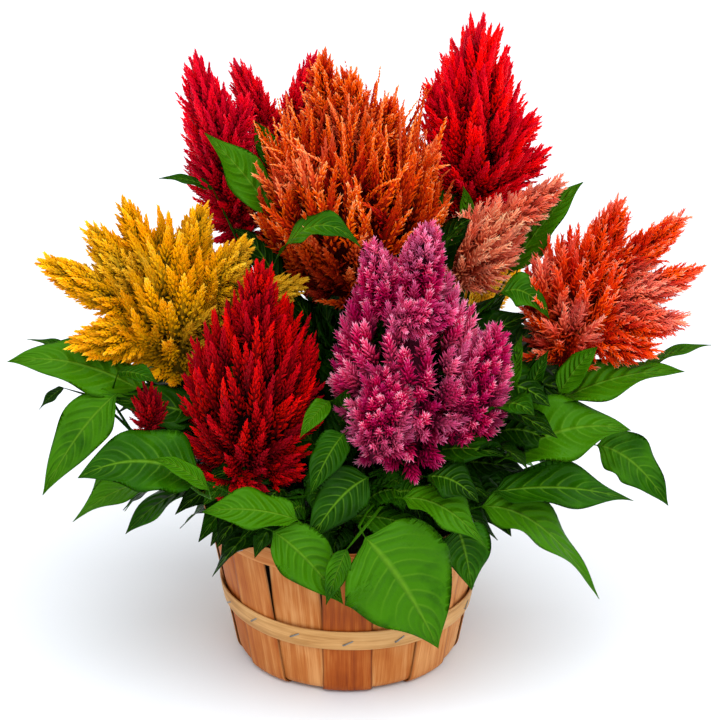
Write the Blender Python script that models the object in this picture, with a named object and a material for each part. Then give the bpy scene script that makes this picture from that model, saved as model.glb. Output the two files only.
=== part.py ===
# Plume celosia planted in a round basket of bent wood splints.
# Metres, Z up. The origin is the middle of the underside, and the front of the planting faces -Y.
import math
import random

import bpy
import bmesh
from mathutils import Vector
from mathutils.bvhtree import BVHTree

mm = 0.001

# Basket
topRadius = 125 * mm            # outside of the outer staves at the rim
footRadius = 99 * mm            # the same wall carried down to the floor
wallHeight = 146 * mm
bendHeight = 9 * mm             # where the straight wall starts to turn under
footEdge = 90 * mm              # where the turned staves lie flat
staveThick = 1.2 * mm
layerGap = 0.5 * mm             # between the outer and the inner layer of staves
pileStep = 1.5 * mm             # each splint crosses the middle this much above the last
outerStaveWidth = 43 * mm
innerStaveWidth = 46 * mm
splintsPerLayer = 4
outerRise = (60 * mm, 53.5 * mm)    # where a splint steps up to its crossing height
innerRise = (78 * mm, 66 * mm)
hoopHeight = 19 * mm
hoopThick = 1.8 * mm
hoopGap = 0.7 * mm
midHoopLow = 49 * mm
midHoopTilt = -0.022            # the band was nailed on a little askew
hoopSegments = 36

# Grow pot and potting mix
potInset = 7.5 * mm             # from the outer staves to the pot's outside
potThick = 1.2 * mm
potFloor = 12.2 * mm
potTop = 138 * mm
drainRadius = 5 * mm
drainCircle = 55 * mm
drainCount = 5
soilTop = 120 * mm
soilCrown = 8 * mm
soilGap = 0.4 * mm
turnedSegments = 26

# Stems
stemFoot = 3.4 * mm             # radius in the soil
stemNeck = 2.2 * mm             # radius under the flower head
stemDepth = 26 * mm             # how deep a stem stands in the soil
fitGap = 0.35 * mm
stemSides = 6
stemRings = 5
socketDepth = 7 * mm
petioleRadius = 1.3 * mm

# Leaves
bladeThick = 0.9 * mm
bladeStations = (0.14, 0.34, 0.6, 0.84)
foldRise = 0.16                 # margins stand this share of the half width above the midrib
waveRise = 0.10
testThick = 2.2 * mm            # a leaf is tried at this thickness, which keeps it clear
viewerWay = Vector((0, -0.925, 0.38))

# Flower heads
coreShare = 0.7                 # core radius over the whole radius of a spire
featherShare = 0.36             # how far its feathers stand out of the core
lowLean = 0.3                   # the lowest feathers lean up less
rowHeight = 26 * mm
wideSpire = 34 * mm             # a spire wider than this gets more feathers round it

# Each head's colour and its spires. A spire is its root, its tip and its radius over the feathers,
# all in mm. The first spire of a head carries the socket for the stem.
heads = {
    "crimson": ((0.42, 0.005, 0.02), [
        ((-88, -65, 172), (-69, -60, 356), 62),
        ((-78, -62, 300), (-68, -62, 384), 20),
        ((-72, -75, 195), (-36, -92, 214), 12),
        ((-95, -80, 200), (-76, -112, 192), 12),
    ]),
    "magenta": ((0.46, 0.02, 0.20), [
        ((48, -72, 215), (53, -64, 384), 62),
        ((54, -70, 340), (67, -66, 418), 22),
        ((36, -73, 330), (19, -72, 404), 20),
        ((24, -108, 226), (38, -110, 314), 28),
        ((90, -84, 226), (124, -74, 332), 31),
        ((60, -95, 320), (41, -132, 352), 17),
    ]),
    "yellow": ((0.85, 0.48, 0.03), [
        ((-143, -2, 262), (-160, 0, 400), 54),
        ((-160, -6, 308), (-258, -22, 370), 20),
        ((-160, -4, 315), (-217, -8, 396), 21),
        ((-156, 2, 330), (-188, 4, 414), 18),
        ((-140, 2, 330), (-120, 12, 408), 19),
        ((-128, -8, 318), (-80, -16, 386), 21),
        ((-125, -8, 306), (-32, -24, 352), 20),
        ((-160, -14, 300), (-232, -48, 304), 21),
    ]),
    "orange": ((0.72, 0.13, 0.03), [
        ((4, 35, 318), (4, 50, 482), 84),
        ((-8, 48, 430), (-23, 52, 528), 20),
        ((2, 46, 430), (2, 46, 516), 20),
        ((18, 42, 430), (38, 40, 492), 18),
        ((-18, 22, 400), (-52, 6, 446), 18),
        ((30, 38, 398), (76, 38, 444), 18),
    ]),
    "redleft": ((0.55, 0.005, 0.03), [
        ((-90, 62, 352), (-130, 70, 521), 33),
        ((-104, 64, 425), (-84, 62, 488), 14),
    ]),
    "redfork": ((0.60, 0.01, 0.03), [
        ((-58, 108, 390), (-62, 108, 458), 34),
        ((-62, 108, 420), (-98, 106, 506), 18),
        ((-54, 108, 420), (-26, 108, 512), 18),
    ]),
    "scarlet": ((0.66, 0.008, 0.02), [
        ((108, 85, 350), (112, 95, 548), 56),
        ((96, 80, 430), (67, 70, 497), 14),
        ((98, 84, 450), (87, 80, 516), 14),
        ((126, 84, 420), (165, 80, 466), 14),
        ((126, 84, 385), (174, 76, 438), 14),
    ]),
    "salmon": ((0.72, 0.22, 0.16), [
        ((92, 14, 335), (142, 20, 406), 35),
        ((120, 18, 376), (184, 25, 424), 16),
    ]),
    "coral": ((0.80, 0.10, 0.03), [
        ((182, -8, 272), (200, 0, 388), 46),
        ((198, -6, 325), (230, 8, 415), 20),
        ((204, -6, 325), (284, 4, 402), 18),
        ((206, -10, 316), (298, -12, 358), 18),
        ((204, -14, 306), (286, -30, 318), 18),
        ((196, -14, 296), (262, -34, 290), 17),
        ((184, -10, 312), (148, 2, 350), 18),
    ]),
    "bud": ((0.36, 0.01, 0.03), [
        ((-163, -62, 226), (-166, -60, 274), 15),
    ]),
    "rearmagenta": ((0.46, 0.02, 0.20), [
        ((-96, 112, 210), (-118, 150, 318), 42),
        ((-104, 128, 262), (-150, 165, 318), 17),
    ]),
    "rearyellow": ((0.85, 0.48, 0.03), [
        ((92, 112, 205), (112, 150, 300), 40),
        ((104, 130, 250), (158, 168, 300), 17),
        ((100, 134, 250), (98, 182, 296), 17),
    ]),
    "rearcrimson": ((0.42, 0.005, 0.02), [
        ((0, 122, 235), (0, 158, 372), 44),
        ((4, 140, 300), (34, 176, 362), 15),
    ]),
}

# Leaves that the front shows, in mm: base of the blade, tip, width, arch of the midrib over the
# straight line, and how far the upper face turns from straight up towards the viewer.
frontLeaves = [
    ((15, -133, 172), (76, -136, 70), 84, 10, 0.9),
    ((-60, -128, 172), (-3, -131, 106), 40, 6, 0.8),
    ((0, -136, 160), (-17, -134, 108), 17, 3, 0.8),
    ((84, -124, 168), (98, -120, 108), 40, 10, 0.8),
    ((46, -118, 190), (116, -132, 149), 38, 14, 0.3),
    ((66, -110, 212), (108, -126, 196), 34, 8, 0.3),
    ((112, -92, 176), (212, -110, 98), 40, 24, 0.4),
    ((122, -82, 185), (241, -70, 171), 42, 8, 0.4),
    ((132, -62, 206), (238, -60, 231), 52, 14, 0.5),
    ((172, -32, 242), (283, -40, 276), 36, 10, 0.3),
    ((214, -22, 200), (277, -32, 147), 40, 12, 0.5),
    ((250, -10, 266), (309, -10, 288), 12, 5, 0.3),
    ((178, -40, 256), (207, -54, 304), 20, 4, 0.6),
    ((150, -56, 258), (166, -62, 304), 12, 3, 0.5),
    ((134, -60, 262), (144, -62, 319), 12, 3, 0.5),
    ((138, 30, 338), (199, 30, 420), 28, 8, 0.6),
    ((148, 46, 338), (166, 52, 396), 34, 4, 0.7),
    ((106, 40, 360), (98, 30, 416), 14, 3, 0.6),
    ((128, -24, 340), (169, -32, 320), 26, 12, 0.5),
    ((-58, -12, 372), (12, -44, 392), 26, 24, 0.4),
    ((-62, 28, 392), (-119, 30, 463), 30, 4, 0.7),
    ((-60, 66, 418), (-79, 68, 462), 18, 3, 0.7),
    ((-114, 58, 403), (-160, 60, 412), 10, 4, 0.4),
    ((-166, -44, 255), (-284, -50, 289), 44, 14, 0.5),
    ((-226, -26, 284), (-269, -24, 299), 10, 3, 0.4),
    ((-191, -54, 262), (-257, -60, 171), 36, 10, 0.7),
    ((-240, -28, 256), (-262, -28, 236), 9, 2, 0.5),
    ((-118, -92, 202), (-218, -108, 211), 52, 16, 0.5),
    ((-112, -112, 202), (-156, -126, 236), 14, 6, 0.6),
    ((-40, -124, 180), (-118, -122, 186), 34, 6, 0.4),
    ((-14, -84, 268), (-38, -108, 246), 15, 4, 0.6),
    ((-2, -100, 246), (-30, -122, 201), 26, 6, 0.6),
    ((18, -110, 212), (-32, -130, 160), 36, 10, 0.7),
    ((0, -120, 180), (78, -126, 163), 34, 6, 0.3),
    ((-190, -56, 282), (-154, -80, 282), 16, 4, 0.5),
]

# Collar of leaves round the sides and the back: how many, first and last azimuth in degrees, radius
# and height of the blades' bases, radius and height of their tips, and width, in mm.
collars = [
    (11, 12, 168, 112, 168, 205, 128, 46),
    (7, 30, 156, 118, 206, 222, 232, 42),
    (5, 186, 204, 116, 180, 200, 150, 40),
]
collarSeed = 11


def material(name, color, roughness):
    mat = bpy.data.materials.new(name)
    mat.use_nodes = True
    shader = mat.node_tree.nodes["Principled BSDF"]
    shader.inputs["Base Color"].default_value = (*color, 1)
    shader.inputs["Roughness"].default_value = roughness
    shader.inputs["Metallic"].default_value = 0
    mat.diffuse_color = (*color, 1)
    return mat


def addObject(name, points, faces, mat, sharp=None, collection=None):
    """A closed mesh object of flat triangles that all point out."""
    mesh = bpy.data.meshes.new(name)
    mesh.from_pydata([tuple(p) for p in points], [], faces)
    bm = bmesh.new()
    bm.from_mesh(mesh)
    bmesh.ops.recalc_face_normals(bm, faces=bm.faces)
    bmesh.ops.triangulate(bm, faces=bm.faces)
    bm.to_mesh(mesh)
    bm.free()
    if sharp is not None:
        mesh.shade_smooth()
        mesh.set_sharp_from_angle(angle=math.radians(sharp))
    mesh.materials.append(mat)
    obj = bpy.data.objects.new(name, mesh)
    (collection or bpy.context.scene.collection).objects.link(obj)
    return obj


def applyBoolean(obj, operation, cutter=None, collection=None):
    """Runs one exact Boolean on the object and keeps the result as its mesh."""
    boolean = obj.modifiers.new("join", "BOOLEAN")
    boolean.operation = operation
    boolean.solver = "EXACT"
    if collection:
        boolean.operand_type = "COLLECTION"
        boolean.collection = collection
    else:
        boolean.object = cutter
    graph = bpy.context.evaluated_depsgraph_get()
    done = bpy.data.meshes.new_from_object(obj.evaluated_get(graph))
    obj.modifiers.clear()
    obj.data = done
    done.name = obj.name


def joinSolids(name, solids, mat):
    """Fuses closed solids, each a pair of points and faces, into one object."""
    first = addObject(name, *solids[0], mat)
    if len(solids) > 1:
        group = bpy.data.collections.new(name + "_pieces")
        for number, (points, faces) in enumerate(solids[1:]):
            addObject(f"{name}_piece_{number}", points, faces, mat, collection=group)
        bpy.context.scene.collection.children.link(group)
        applyBoolean(first, "UNION", collection=group)
        for piece in list(group.objects):
            bpy.data.objects.remove(piece)
        bpy.data.collections.remove(group)
        dropScraps(first)
    return first


def dropScraps(obj):
    """Keeps the largest body of a joined mesh and drops the loose crumbs beside it."""
    bm = bmesh.new()
    bm.from_mesh(obj.data)
    left = set(bm.faces)
    bodies = []
    while left:
        body, front = set(), [left.pop()]
        while front:
            face = front.pop()
            body.add(face)
            for edge in face.edges:
                for other in edge.link_faces if len(edge.link_faces) == 2 else ():
                    if other in left:
                        left.remove(other)
                        front.append(other)
        bodies.append(body)
    bodies.sort(key=len)
    for body in bodies[:-1]:
        bmesh.ops.delete(bm, geom=list(body), context="FACES")
    bm.to_mesh(obj.data)
    bm.free()


def loft(rings, closed=False):
    """Faces between rings of equally many points, capped at both ends or closed on itself."""
    sides = len(rings[0])
    points = [p for ring in rings for p in ring]
    faces = []
    for row in range(len(rings) - (0 if closed else 1)):
        after = (row + 1) % len(rings)
        for side in range(sides):
            turn = (side + 1) % sides
            faces.append((row * sides + side, row * sides + turn, after * sides + turn, after * sides + side))
    if not closed:
        faces.append(tuple(range(sides))[::-1])
        faces.append(tuple((len(rings) - 1) * sides + side for side in range(sides)))
    return points, faces


def turned(profile, segments):
    """Turns a profile of (radius, height) about Z; its first and last points lie on the axis."""
    points = [Vector((0, 0, profile[0][1]))]
    for radius, height in profile[1:-1]:
        for step in range(segments):
            angle = 2 * math.pi * step / segments
            points.append(Vector((radius * math.cos(angle), radius * math.sin(angle), height)))
    points.append(Vector((0, 0, profile[-1][1])))
    faces = []
    last = len(points) - 1
    rows = len(profile) - 2
    for step in range(segments):
        after = (step + 1) % segments
        faces.append((0, 1 + after, 1 + step))
        for row in range(rows - 1):
            low = 1 + row * segments
            high = low + segments
            faces.append((low + step, low + after, high + after, high + step))
        top = 1 + (rows - 1) * segments
        faces.append((top + step, top + after, last))
    return points, faces


def wallRadius(height):
    return footRadius + (topRadius - footRadius) * height / wallHeight


def splintPath(layer, order):
    """Half of a splint's middle line, from the rim to the centre: (radius, height, roundness)."""
    inset = layer * (staveThick + layerGap) + staveThick / 2
    level = pileStep * (order + splintsPerLayer * layer) + staveThick / 2
    rise = innerRise if layer else outerRise
    path = [(wallRadius(wallHeight) - inset, wallHeight, 1)]
    wallEnd = (wallRadius(bendHeight) - inset, bendHeight + inset * 0.4)
    corner = (wallRadius(0) - inset, inset)
    flatStart = (footEdge - inset * 0.4, inset)
    for t in (0, 0.5, 1):
        a, b, c = (1 - t) ** 2, 2 * t * (1 - t), t * t
        path.append((a * wallEnd[0] + b * corner[0] + c * flatStart[0],
                     a * wallEnd[1] + b * corner[1] + c * flatStart[1], 1))
    path.append((rise[0], inset, 0))
    path.append((rise[1], level, 0))
    return path


def splint(name, layer, order, azimuth, mat):
    """One bent splint: it runs down the wall, across the bottom and up the other side."""
    width = innerStaveWidth if layer else outerStaveWidth
    half = splintPath(layer, order)
    line = [(radius, height, roundness) for radius, height, roundness in half]
    line += [(-radius, height, roundness) for radius, height, roundness in reversed(half)]
    along = Vector((math.cos(azimuth), math.sin(azimuth), 0))
    across = Vector((-math.sin(azimuth), math.cos(azimuth), 0))
    rings = []
    for index, (radius, height, roundness) in enumerate(line):
        before = line[max(index - 1, 0)]
        after = line[min(index + 1, len(line) - 1)]
        run, climb = after[0] - before[0], after[1] - before[1]
        length = math.hypot(run, climb)
        normal = (climb / length, -run / length)    # towards the outside of the basket
        outer, inner = [], []
        for step in range(4):
            offset = width * (step / 3 - 0.5)
            for side, row in ((0.5, outer), (-0.5, inner)):
                reach = radius + side * staveThick * normal[0]
                rise = height + side * staveThick * normal[1]
                angle = offset / abs(reach)
                forward = reach * (roundness * math.cos(angle) + 1 - roundness)
                aside = roundness * abs(reach) * math.sin(angle) + (1 - roundness) * offset
                row.append(along * forward + across * aside + Vector((0, 0, rise)))
        rings.append(outer + inner[::-1])
    return addObject(name, *loft(rings), mat, sharp=30)


def hoop(name, low, inside, tilt, mat):
    """A bent band round the wall, outside the staves or inside them."""
    rings = []
    for step in range(hoopSegments):
        angle = 2 * math.pi * step / hoopSegments
        way = Vector((math.cos(angle), math.sin(angle), 0))
        ring = []
        for share, depth in ((0, 0), (1, 0), (1, 1), (0, 1)):
            height = low + share * hoopHeight + tilt * topRadius * way.x
            if inside:
                reach = wallRadius(height) - 2 * staveThick - layerGap - hoopGap - depth * hoopThick
            else:
                reach = wallRadius(height) + hoopGap + depth * hoopThick
            ring.append(way * reach + Vector((0, 0, height)))
        rings.append(ring)
    return addObject(name, *loft(rings, closed=True), mat, sharp=40)


def growPot(mat):
    """Thin nursery pot inside the basket, open at the top, with drain holes in its floor."""
    outerLow = wallRadius(potFloor) - potInset - 2 * mm
    outerTop = wallRadius(potTop) - potInset
    profile = [
        (0, potFloor), (outerLow, potFloor), (outerTop, potTop), (outerTop - potThick, potTop),
        (outerLow - potThick, potFloor + potThick), (0, potFloor + potThick),
    ]
    pot = addObject("grow_pot", *turned(profile, turnedSegments), mat, sharp=40)
    points, faces = [], []
    for number in range(drainCount):
        angle = 2 * math.pi * number / drainCount
        centre = Vector((drainCircle * math.cos(angle), drainCircle * math.sin(angle), 0))
        tube = drillBit(centre + Vector((0, 0, potFloor - 2 * mm)), potThick + 4 * mm, drainRadius, 10)
        faces += [tuple(corner + len(points) for corner in face) for face in tube[1]]
        points += tube[0]
    cutter = addObject("drain_cutter", points, faces, mat)
    cutter.hide_render = True
    cutter.display_type = "WIRE"
    applyBoolean(pot, "DIFFERENCE", cutter=cutter)
    bpy.data.objects.remove(cutter)
    return pot


def drillBit(foot, length, radius, sides):
    rings = []
    for height in (0, length):
        rings.append([foot + Vector((radius * math.cos(2 * math.pi * side / sides),
                                     radius * math.sin(2 * math.pi * side / sides), height))
                      for side in range(sides)])
    return loft(rings)


def pottingMix(stems, mat):
    """Plug of soil with a low crown and a blind hole for each stem."""
    low = potFloor + potThick + soilGap
    lowRadius = wallRadius(potFloor) - potInset - 2 * mm - potThick - soilGap * 2
    slope = (topRadius - footRadius) / wallHeight
    topEdge = lowRadius + slope * (soilTop - low)
    profile = [(0, low), (lowRadius, low), (topEdge, soilTop), (topEdge * 0.8, soilTop + soilCrown * 0.4),
               (topEdge * 0.42, soilTop + soilCrown), (0, soilTop + soilCrown)]
    soil = addObject("potting_mix", *turned(profile, turnedSegments), mat, sharp=40)
    points, faces = [], []
    for stem in stems.values():
        foot = stem["foot"] - Vector((0, 0, fitGap))
        bit = drillBit(foot, stemDepth + 2 * soilCrown, stemFoot + fitGap * 1.6, 8)
        faces += [tuple(corner + len(points) for corner in face) for face in bit[1]]
        points += bit[0]
    cutter = addObject("hole_cutter", points, faces, mat)
    cutter.hide_render = True
    cutter.display_type = "WIRE"
    applyBoolean(soil, "DIFFERENCE", cutter=cutter)
    bpy.data.objects.remove(cutter)
    return soil


def frameFor(axis):
    """Two unit vectors across an axis."""
    helper = Vector((0, -1, 0)) if abs(axis.y) < 0.9 else Vector((1, 0, 0))
    first = (helper - axis * helper.dot(axis)).normalized()
    return first, axis.cross(first)


def spirePlump(t):
    """Share of the full radius along a spire, from its root to its tip."""
    return (0.6 + 0.4 * min(t / 0.28, 1)) * (1 - t) ** 0.6


def spire(root, tip, radius, socket, rng):
    """A tapering core whose every facet rises to a pointed feather that leans up the axis."""
    axis = tip - root
    length = axis.length
    axis = axis / length
    first, second = frameFor(axis)
    sides = 7 if radius > wideSpire else 5
    rows = max(3, min(7, round(length / rowHeight)))
    core = coreShare * radius
    points, grid = [], []
    for row in range(rows + 1):
        t = row / (rows + 0.7)
        ring = []
        for side in range(sides):
            angle = 2 * math.pi * (side + 0.5 * row) / sides
            way = first * math.cos(angle) + second * math.sin(angle)
            ring.append(len(points))
            points.append(root + axis * (t * length * 0.94) + way * core * spirePlump(t))
        grid.append(ring)
    faces = []
    step = length / rows
    for row in range(rows):
        for side in range(sides):
            turn = (side + 1) % sides
            cell = (grid[row][side], grid[row][turn], grid[row + 1][turn], grid[row + 1][side])
            middle = sum((points[c] for c in cell), Vector()) / 4
            height = middle - root
            way = (height - axis * height.dot(axis)).normalized()
            size = spirePlump((row + 0.5) / (rows + 0.7)) * rng.uniform(0.85, 1.15)
            lean = step * rng.uniform(1.0, 1.3) * (1 if row else lowLean)
            feather = middle + way * featherShare * radius * size + axis * lean
            faces += [(cell[k], cell[(k + 1) % 4], len(points)) for k in range(4)]
            points.append(feather)
    apex = len(points)
    points.append(tip)
    faces += [(grid[-1][side], grid[-1][(side + 1) % sides], apex) for side in range(sides)]
    if socket:
        mouth, bottom = [], []
        for store, lift in ((mouth, 0), (bottom, socketDepth)):
            for side in range(sides):
                angle = 2 * math.pi * side / sides
                way = first * math.cos(angle) + second * math.sin(angle)
                store.append(len(points))
                points.append(root + axis * lift + way * (stemNeck + 3 * fitGap))
        for side in range(sides):
            turn = (side + 1) % sides
            faces.append((grid[0][turn], grid[0][side], mouth[side], mouth[turn]))
            faces.append((mouth[turn], mouth[side], bottom[side], bottom[turn]))
        faces.append(tuple(bottom[::-1]))
    else:
        faces.append(tuple(grid[0][::-1]))
    return points, faces


def head(name, spires, mat):
    solids = []
    for number, (root, tip, radius) in enumerate(spires):
        rng = random.Random(f"{name}{number}")
        solids.append(spire(Vector(root) * mm, Vector(tip) * mm, radius * mm, number == 0, rng))
    return joinSolids("head_" + name, solids, mat)


def stemCourse(spires):
    """Places along the stem that carries a head: it stands straight in the soil and in the socket."""
    root, tip = Vector(spires[0][0]) * mm, Vector(spires[0][1]) * mm
    axis = (tip - root).normalized()
    flat = Vector((root.x, root.y, 0)) * 0.55
    if flat.length > 78 * mm:
        flat = flat.normalized() * 78 * mm
    ground = flat + Vector((0, 0, soilTop + soilCrown + 2 * mm))
    foot = flat + Vector((0, 0, soilTop - stemDepth))
    collar = root - axis * 2 * mm
    return {"foot": foot, "ground": ground, "collar": collar, "axis": axis,
            "neck": root + axis * (socketDepth - fitGap)}


def stemPoint(stem, t):
    """Point on the bent stretch of the stem, from the soil to the collar under the head."""
    span = (stem["collar"] - stem["ground"]).length
    a, d = stem["ground"], stem["collar"]
    b = a + Vector((0, 0, 1)) * span * 0.38
    c = d - stem["axis"] * span * 0.3
    return a * (1 - t) ** 3 + b * 3 * t * (1 - t) ** 2 + c * 3 * t * t * (1 - t) + d * t ** 3


def stemTangent(stem, t):
    return (stemPoint(stem, min(t + 0.01, 1)) - stemPoint(stem, max(t - 0.01, 0))).normalized()


def stemSolid(stem):
    stations = [(stem["foot"], Vector((0, 0, 1)), 0), (stem["ground"], Vector((0, 0, 1)), 0)]
    for row in range(1, stemRings):
        t = row / stemRings
        stations.append((stemPoint(stem, t), stemTangent(stem, t), t))
    stations += [(stem["collar"], stem["axis"], 1), (stem["neck"], stem["axis"], 1)]
    rings = []
    for point, tangent, t in stations:
        first, second = frameFor(tangent)
        radius = stemFoot + (stemNeck - stemFoot) * t
        rings.append([point + (first * math.cos(2 * math.pi * side / stemSides)
                               + second * math.sin(2 * math.pi * side / stemSides)) * radius
                      for side in range(stemSides)])
    return loft(rings)


def bladeWidth(t):
    """Half-width share along a blade: widest a third of the way, with a long drawn-out tip."""
    return (1 - math.exp(-(t / 0.24) ** 1.5)) * (1 - t) ** 1.1 / 0.515


def leafSections(leaf, stem, rootAt, shift, thick):
    """Six-point sections from the petiole's root to just short of the tip, and the tip."""
    base, tip, width, arch, face, phase = leaf
    base, tip = base + shift, tip + shift
    crown = (base + tip) / 2 + Vector((0, 0, arch)) * 2
    root = stemPoint(stem, rootAt)
    reach = (base - root).length
    away = (crown - base).normalized()
    bendA = root + stemTangent(stem, rootAt) * reach * 0.3
    bendB = base - away * reach * 0.35
    stations = []
    for t in (0, 0.5, 1):
        point = (root * (1 - t) ** 3 + bendA * 3 * t * (1 - t) ** 2 + bendB * 3 * t * t * (1 - t)
                 + base * t ** 3)
        slope = ((bendA - root) * (1 - t) ** 2 + (bendB - bendA) * 2 * t * (1 - t)
                 + (base - bendB) * t * t).normalized()
        stations.append((point, slope, petioleRadius, petioleRadius * 1.5, 0, 0))
    for number, t in enumerate(bladeStations):
        point = base * (1 - t) ** 2 + crown * 2 * t * (1 - t) + tip * t * t
        slope = ((crown - base) * (1 - t) + (tip - crown) * t).normalized()
        half = 0.5 * width * bladeWidth(t)
        wave = waveRise * half * math.sin(phase + number * 2.4)
        stations.append((point, slope, half, thick, foldRise * half, wave))
    sections = []
    sideways = (tip - base).cross(face).normalized()
    for point, slope, half, depth, fold, wave in stations:
        across = (sideways - slope * sideways.dot(slope)).normalized()
        normal = across.cross(slope).normalized()
        left = point - across * half + normal * (fold + wave)
        right = point + across * half + normal * (fold - wave)
        down = normal * depth
        ridge = normal * (0.35 * depth if fold == 0 else 0)
        sections.append([left, point + ridge, right, right - down, point - down - ridge, left - down])
    return sections, tip


def leafSolid(sections, tip):
    """Closed blade and petiole, with the same diagonals on its upper and lower faces."""
    points = [p for section in sections for p in section]
    faces = [(5, 4, 1, 0), (4, 3, 2, 1)]
    for row in range(len(sections) - 1):
        low, high = row * 6, row * 6 + 6
        for a, b in ((0, 1), (1, 2)):
            c, d = 5 - a, 5 - b
            faces += [(low + a, low + b, high + b), (low + a, high + b, high + a)]
            faces += [(low + d, low + c, high + d), (low + c, high + c, high + d)]
        faces += [(low + 2, low + 3, high + 3, high + 2), (low + 5, low, high, high + 5)]
    end = (len(sections) - 1) * 6
    points.append(tip)
    faces += [(end + side, end + (side + 1) % 6, len(points) - 1) for side in range(6)]
    return points, faces


def leafFace(turn):
    return (Vector((0, 0, 1)) * (1 - turn) + viewerWay * turn).normalized()


def listLeaves():
    """Every leaf: base, tip, width, arch, face, wave phase, and the way it may slide to find room."""
    rng = random.Random(collarSeed)
    leaves = []
    for base, tip, width, arch, turn in frontLeaves:
        leaf = (Vector(base) * mm, Vector(tip) * mm, width * mm, arch * mm, leafFace(turn),
                rng.uniform(0, 6.3))
        leaves.append((leaf, viewerWay))
    for count, first, last, baseRadius, baseHeight, tipRadius, tipHeight, width in collars:
        for number in range(count):
            azimuth = math.radians(first + (last - first) * (number + rng.uniform(-0.3, 0.3)) / (count - 1))
            way = Vector((math.cos(azimuth), math.sin(azimuth), 0))
            side = Vector((-way.y, way.x, 0))
            base = way * baseRadius * mm + Vector((0, 0, baseHeight + rng.uniform(-8, 8))) * mm
            tip = (way * tipRadius * rng.uniform(0.88, 1.06) + side * rng.uniform(-22, 22)) * mm
            tip.z = (tipHeight + rng.uniform(-22, 22)) * mm
            face = (Vector((0, 0, 1)) + way * 0.4).normalized()
            leaf = (base, tip, width * rng.uniform(0.8, 1.15) * mm, rng.uniform(10, 18) * mm, face,
                    rng.uniform(0, 6.3))
            leaves.append((leaf, way))
    return leaves


def leafPlaces(leaf, slide, stems):
    """Where a leaf may go, best first: the nearest stems, a root on the stem, and a small slide."""
    base = leaf[0]
    near = sorted(stems, key=lambda name: min((stemPoint(stems[name], t) - base).length
                                              for t in (0.4, 0.6, 0.8)))
    for step, lift in ((0, 0), (8, 0), (-8, 0), (0, 8), (16, 0), (-16, 0), (0, -8), (8, 8), (24, 0),
                       (-24, 0), (16, 10), (-16, 10), (32, 0), (-32, 0), (24, 12), (40, 6),
                       (40, -16), (24, -16), (48, 20), (12, 30), (40, 40)):
        shift = slide * step * mm + Vector((0, 0, lift)) * mm
        for name in near[:5]:
            for rootAt in (0.5, 0.6, 0.4, 0.7, 0.32, 0.8, 0.9, 0.24):
                yield name, rootAt, shift


def treeOf(solid):
    return BVHTree.FromPolygons([tuple(p) for p in solid[0]], solid[1])


def crossesItself(solid, tree):
    """True where two faces that share no corner meet, as in a kinked leaf."""
    faces = solid[1]
    return any(not set(faces[a]) & set(faces[b]) for a, b in tree.overlap(tree))


def growLeaves(stems, obstacles):
    """Gives each leaf the first place where it crosses no other piece."""
    grown = {name: [] for name in stems}
    for number, (leaf, slide) in enumerate(listLeaves()):
        for name, rootAt, shift in leafPlaces(leaf, slide, stems):
            outline = leafSolid(*leafSections(leaf, stems[name], rootAt, shift, testThick))
            trial = treeOf(outline)
            if any(owner != name and trial.overlap(tree) for owner, tree in obstacles):
                continue
            if crossesItself(outline, trial):
                continue
            solid = leafSolid(*leafSections(leaf, stems[name], rootAt, shift, bladeThick))
            grown[name].append(solid)
            obstacles.append(("leaf", trial))
            break
        else:
            print("no room for leaf", number)
    return grown


def meshTree(obj):
    points = [v.co for v in obj.data.vertices]
    return BVHTree.FromPolygons(points, [tuple(p.vertices) for p in obj.data.polygons])


def buildBasket():
    wood = material("poplar_splint", (0.62, 0.33, 0.16), 0.6)
    pale = material("pale_splint", (0.74, 0.47, 0.24), 0.55)
    pieces = []
    for layer, title in ((0, "outer"), (1, "inner")):
        for order in range(splintsPerLayer):
            azimuth = math.radians(90 + 45 * order + 22.5 * layer)
            pieces.append(splint(f"splint_{title}_{order + 1}", layer, order, azimuth, wood))
    rimLow = wallHeight - hoopHeight
    pieces.append(hoop("rim_hoop_outer", rimLow, False, 0, wood))
    pieces.append(hoop("rim_hoop_inner", rimLow, True, 0, wood))
    pieces.append(hoop("middle_hoop", midHoopLow, False, midHoopTilt, pale))
    return pieces


def build():
    for obj in list(bpy.data.objects):
        bpy.data.objects.remove(obj, do_unlink=True)
    pieces = buildBasket()
    pieces.append(growPot(material("black_pot_plastic", (0.015, 0.015, 0.015), 0.5)))
    stems = {name: stemCourse(spires) for name, (color, spires) in heads.items()}
    pieces.append(pottingMix(stems, material("potting_mix", (0.03, 0.018, 0.01), 0.95)))
    obstacles = [("basket", meshTree(piece)) for piece in pieces]
    for name, (color, spires) in heads.items():
        bloom = head(name, spires, material("petals_" + name, color, 0.7))
        obstacles.append(("head", meshTree(bloom)))
    for name, stem in stems.items():
        obstacles.append((name, treeOf(stemSolid(stem))))
    grown = growLeaves(stems, obstacles)
    foliage = material("celosia_leaf", (0.06, 0.22, 0.02), 0.45)
    for name, stem in stems.items():
        joinSolids("leafy_stem_" + name, [stemSolid(stem)] + grown[name], foliage)


build()
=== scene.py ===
# Plume celosia in a round splint basket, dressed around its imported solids.
import math
import random

import bpy
import numpy as np
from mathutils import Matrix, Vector
from mathutils.kdtree import KDTree


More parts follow.
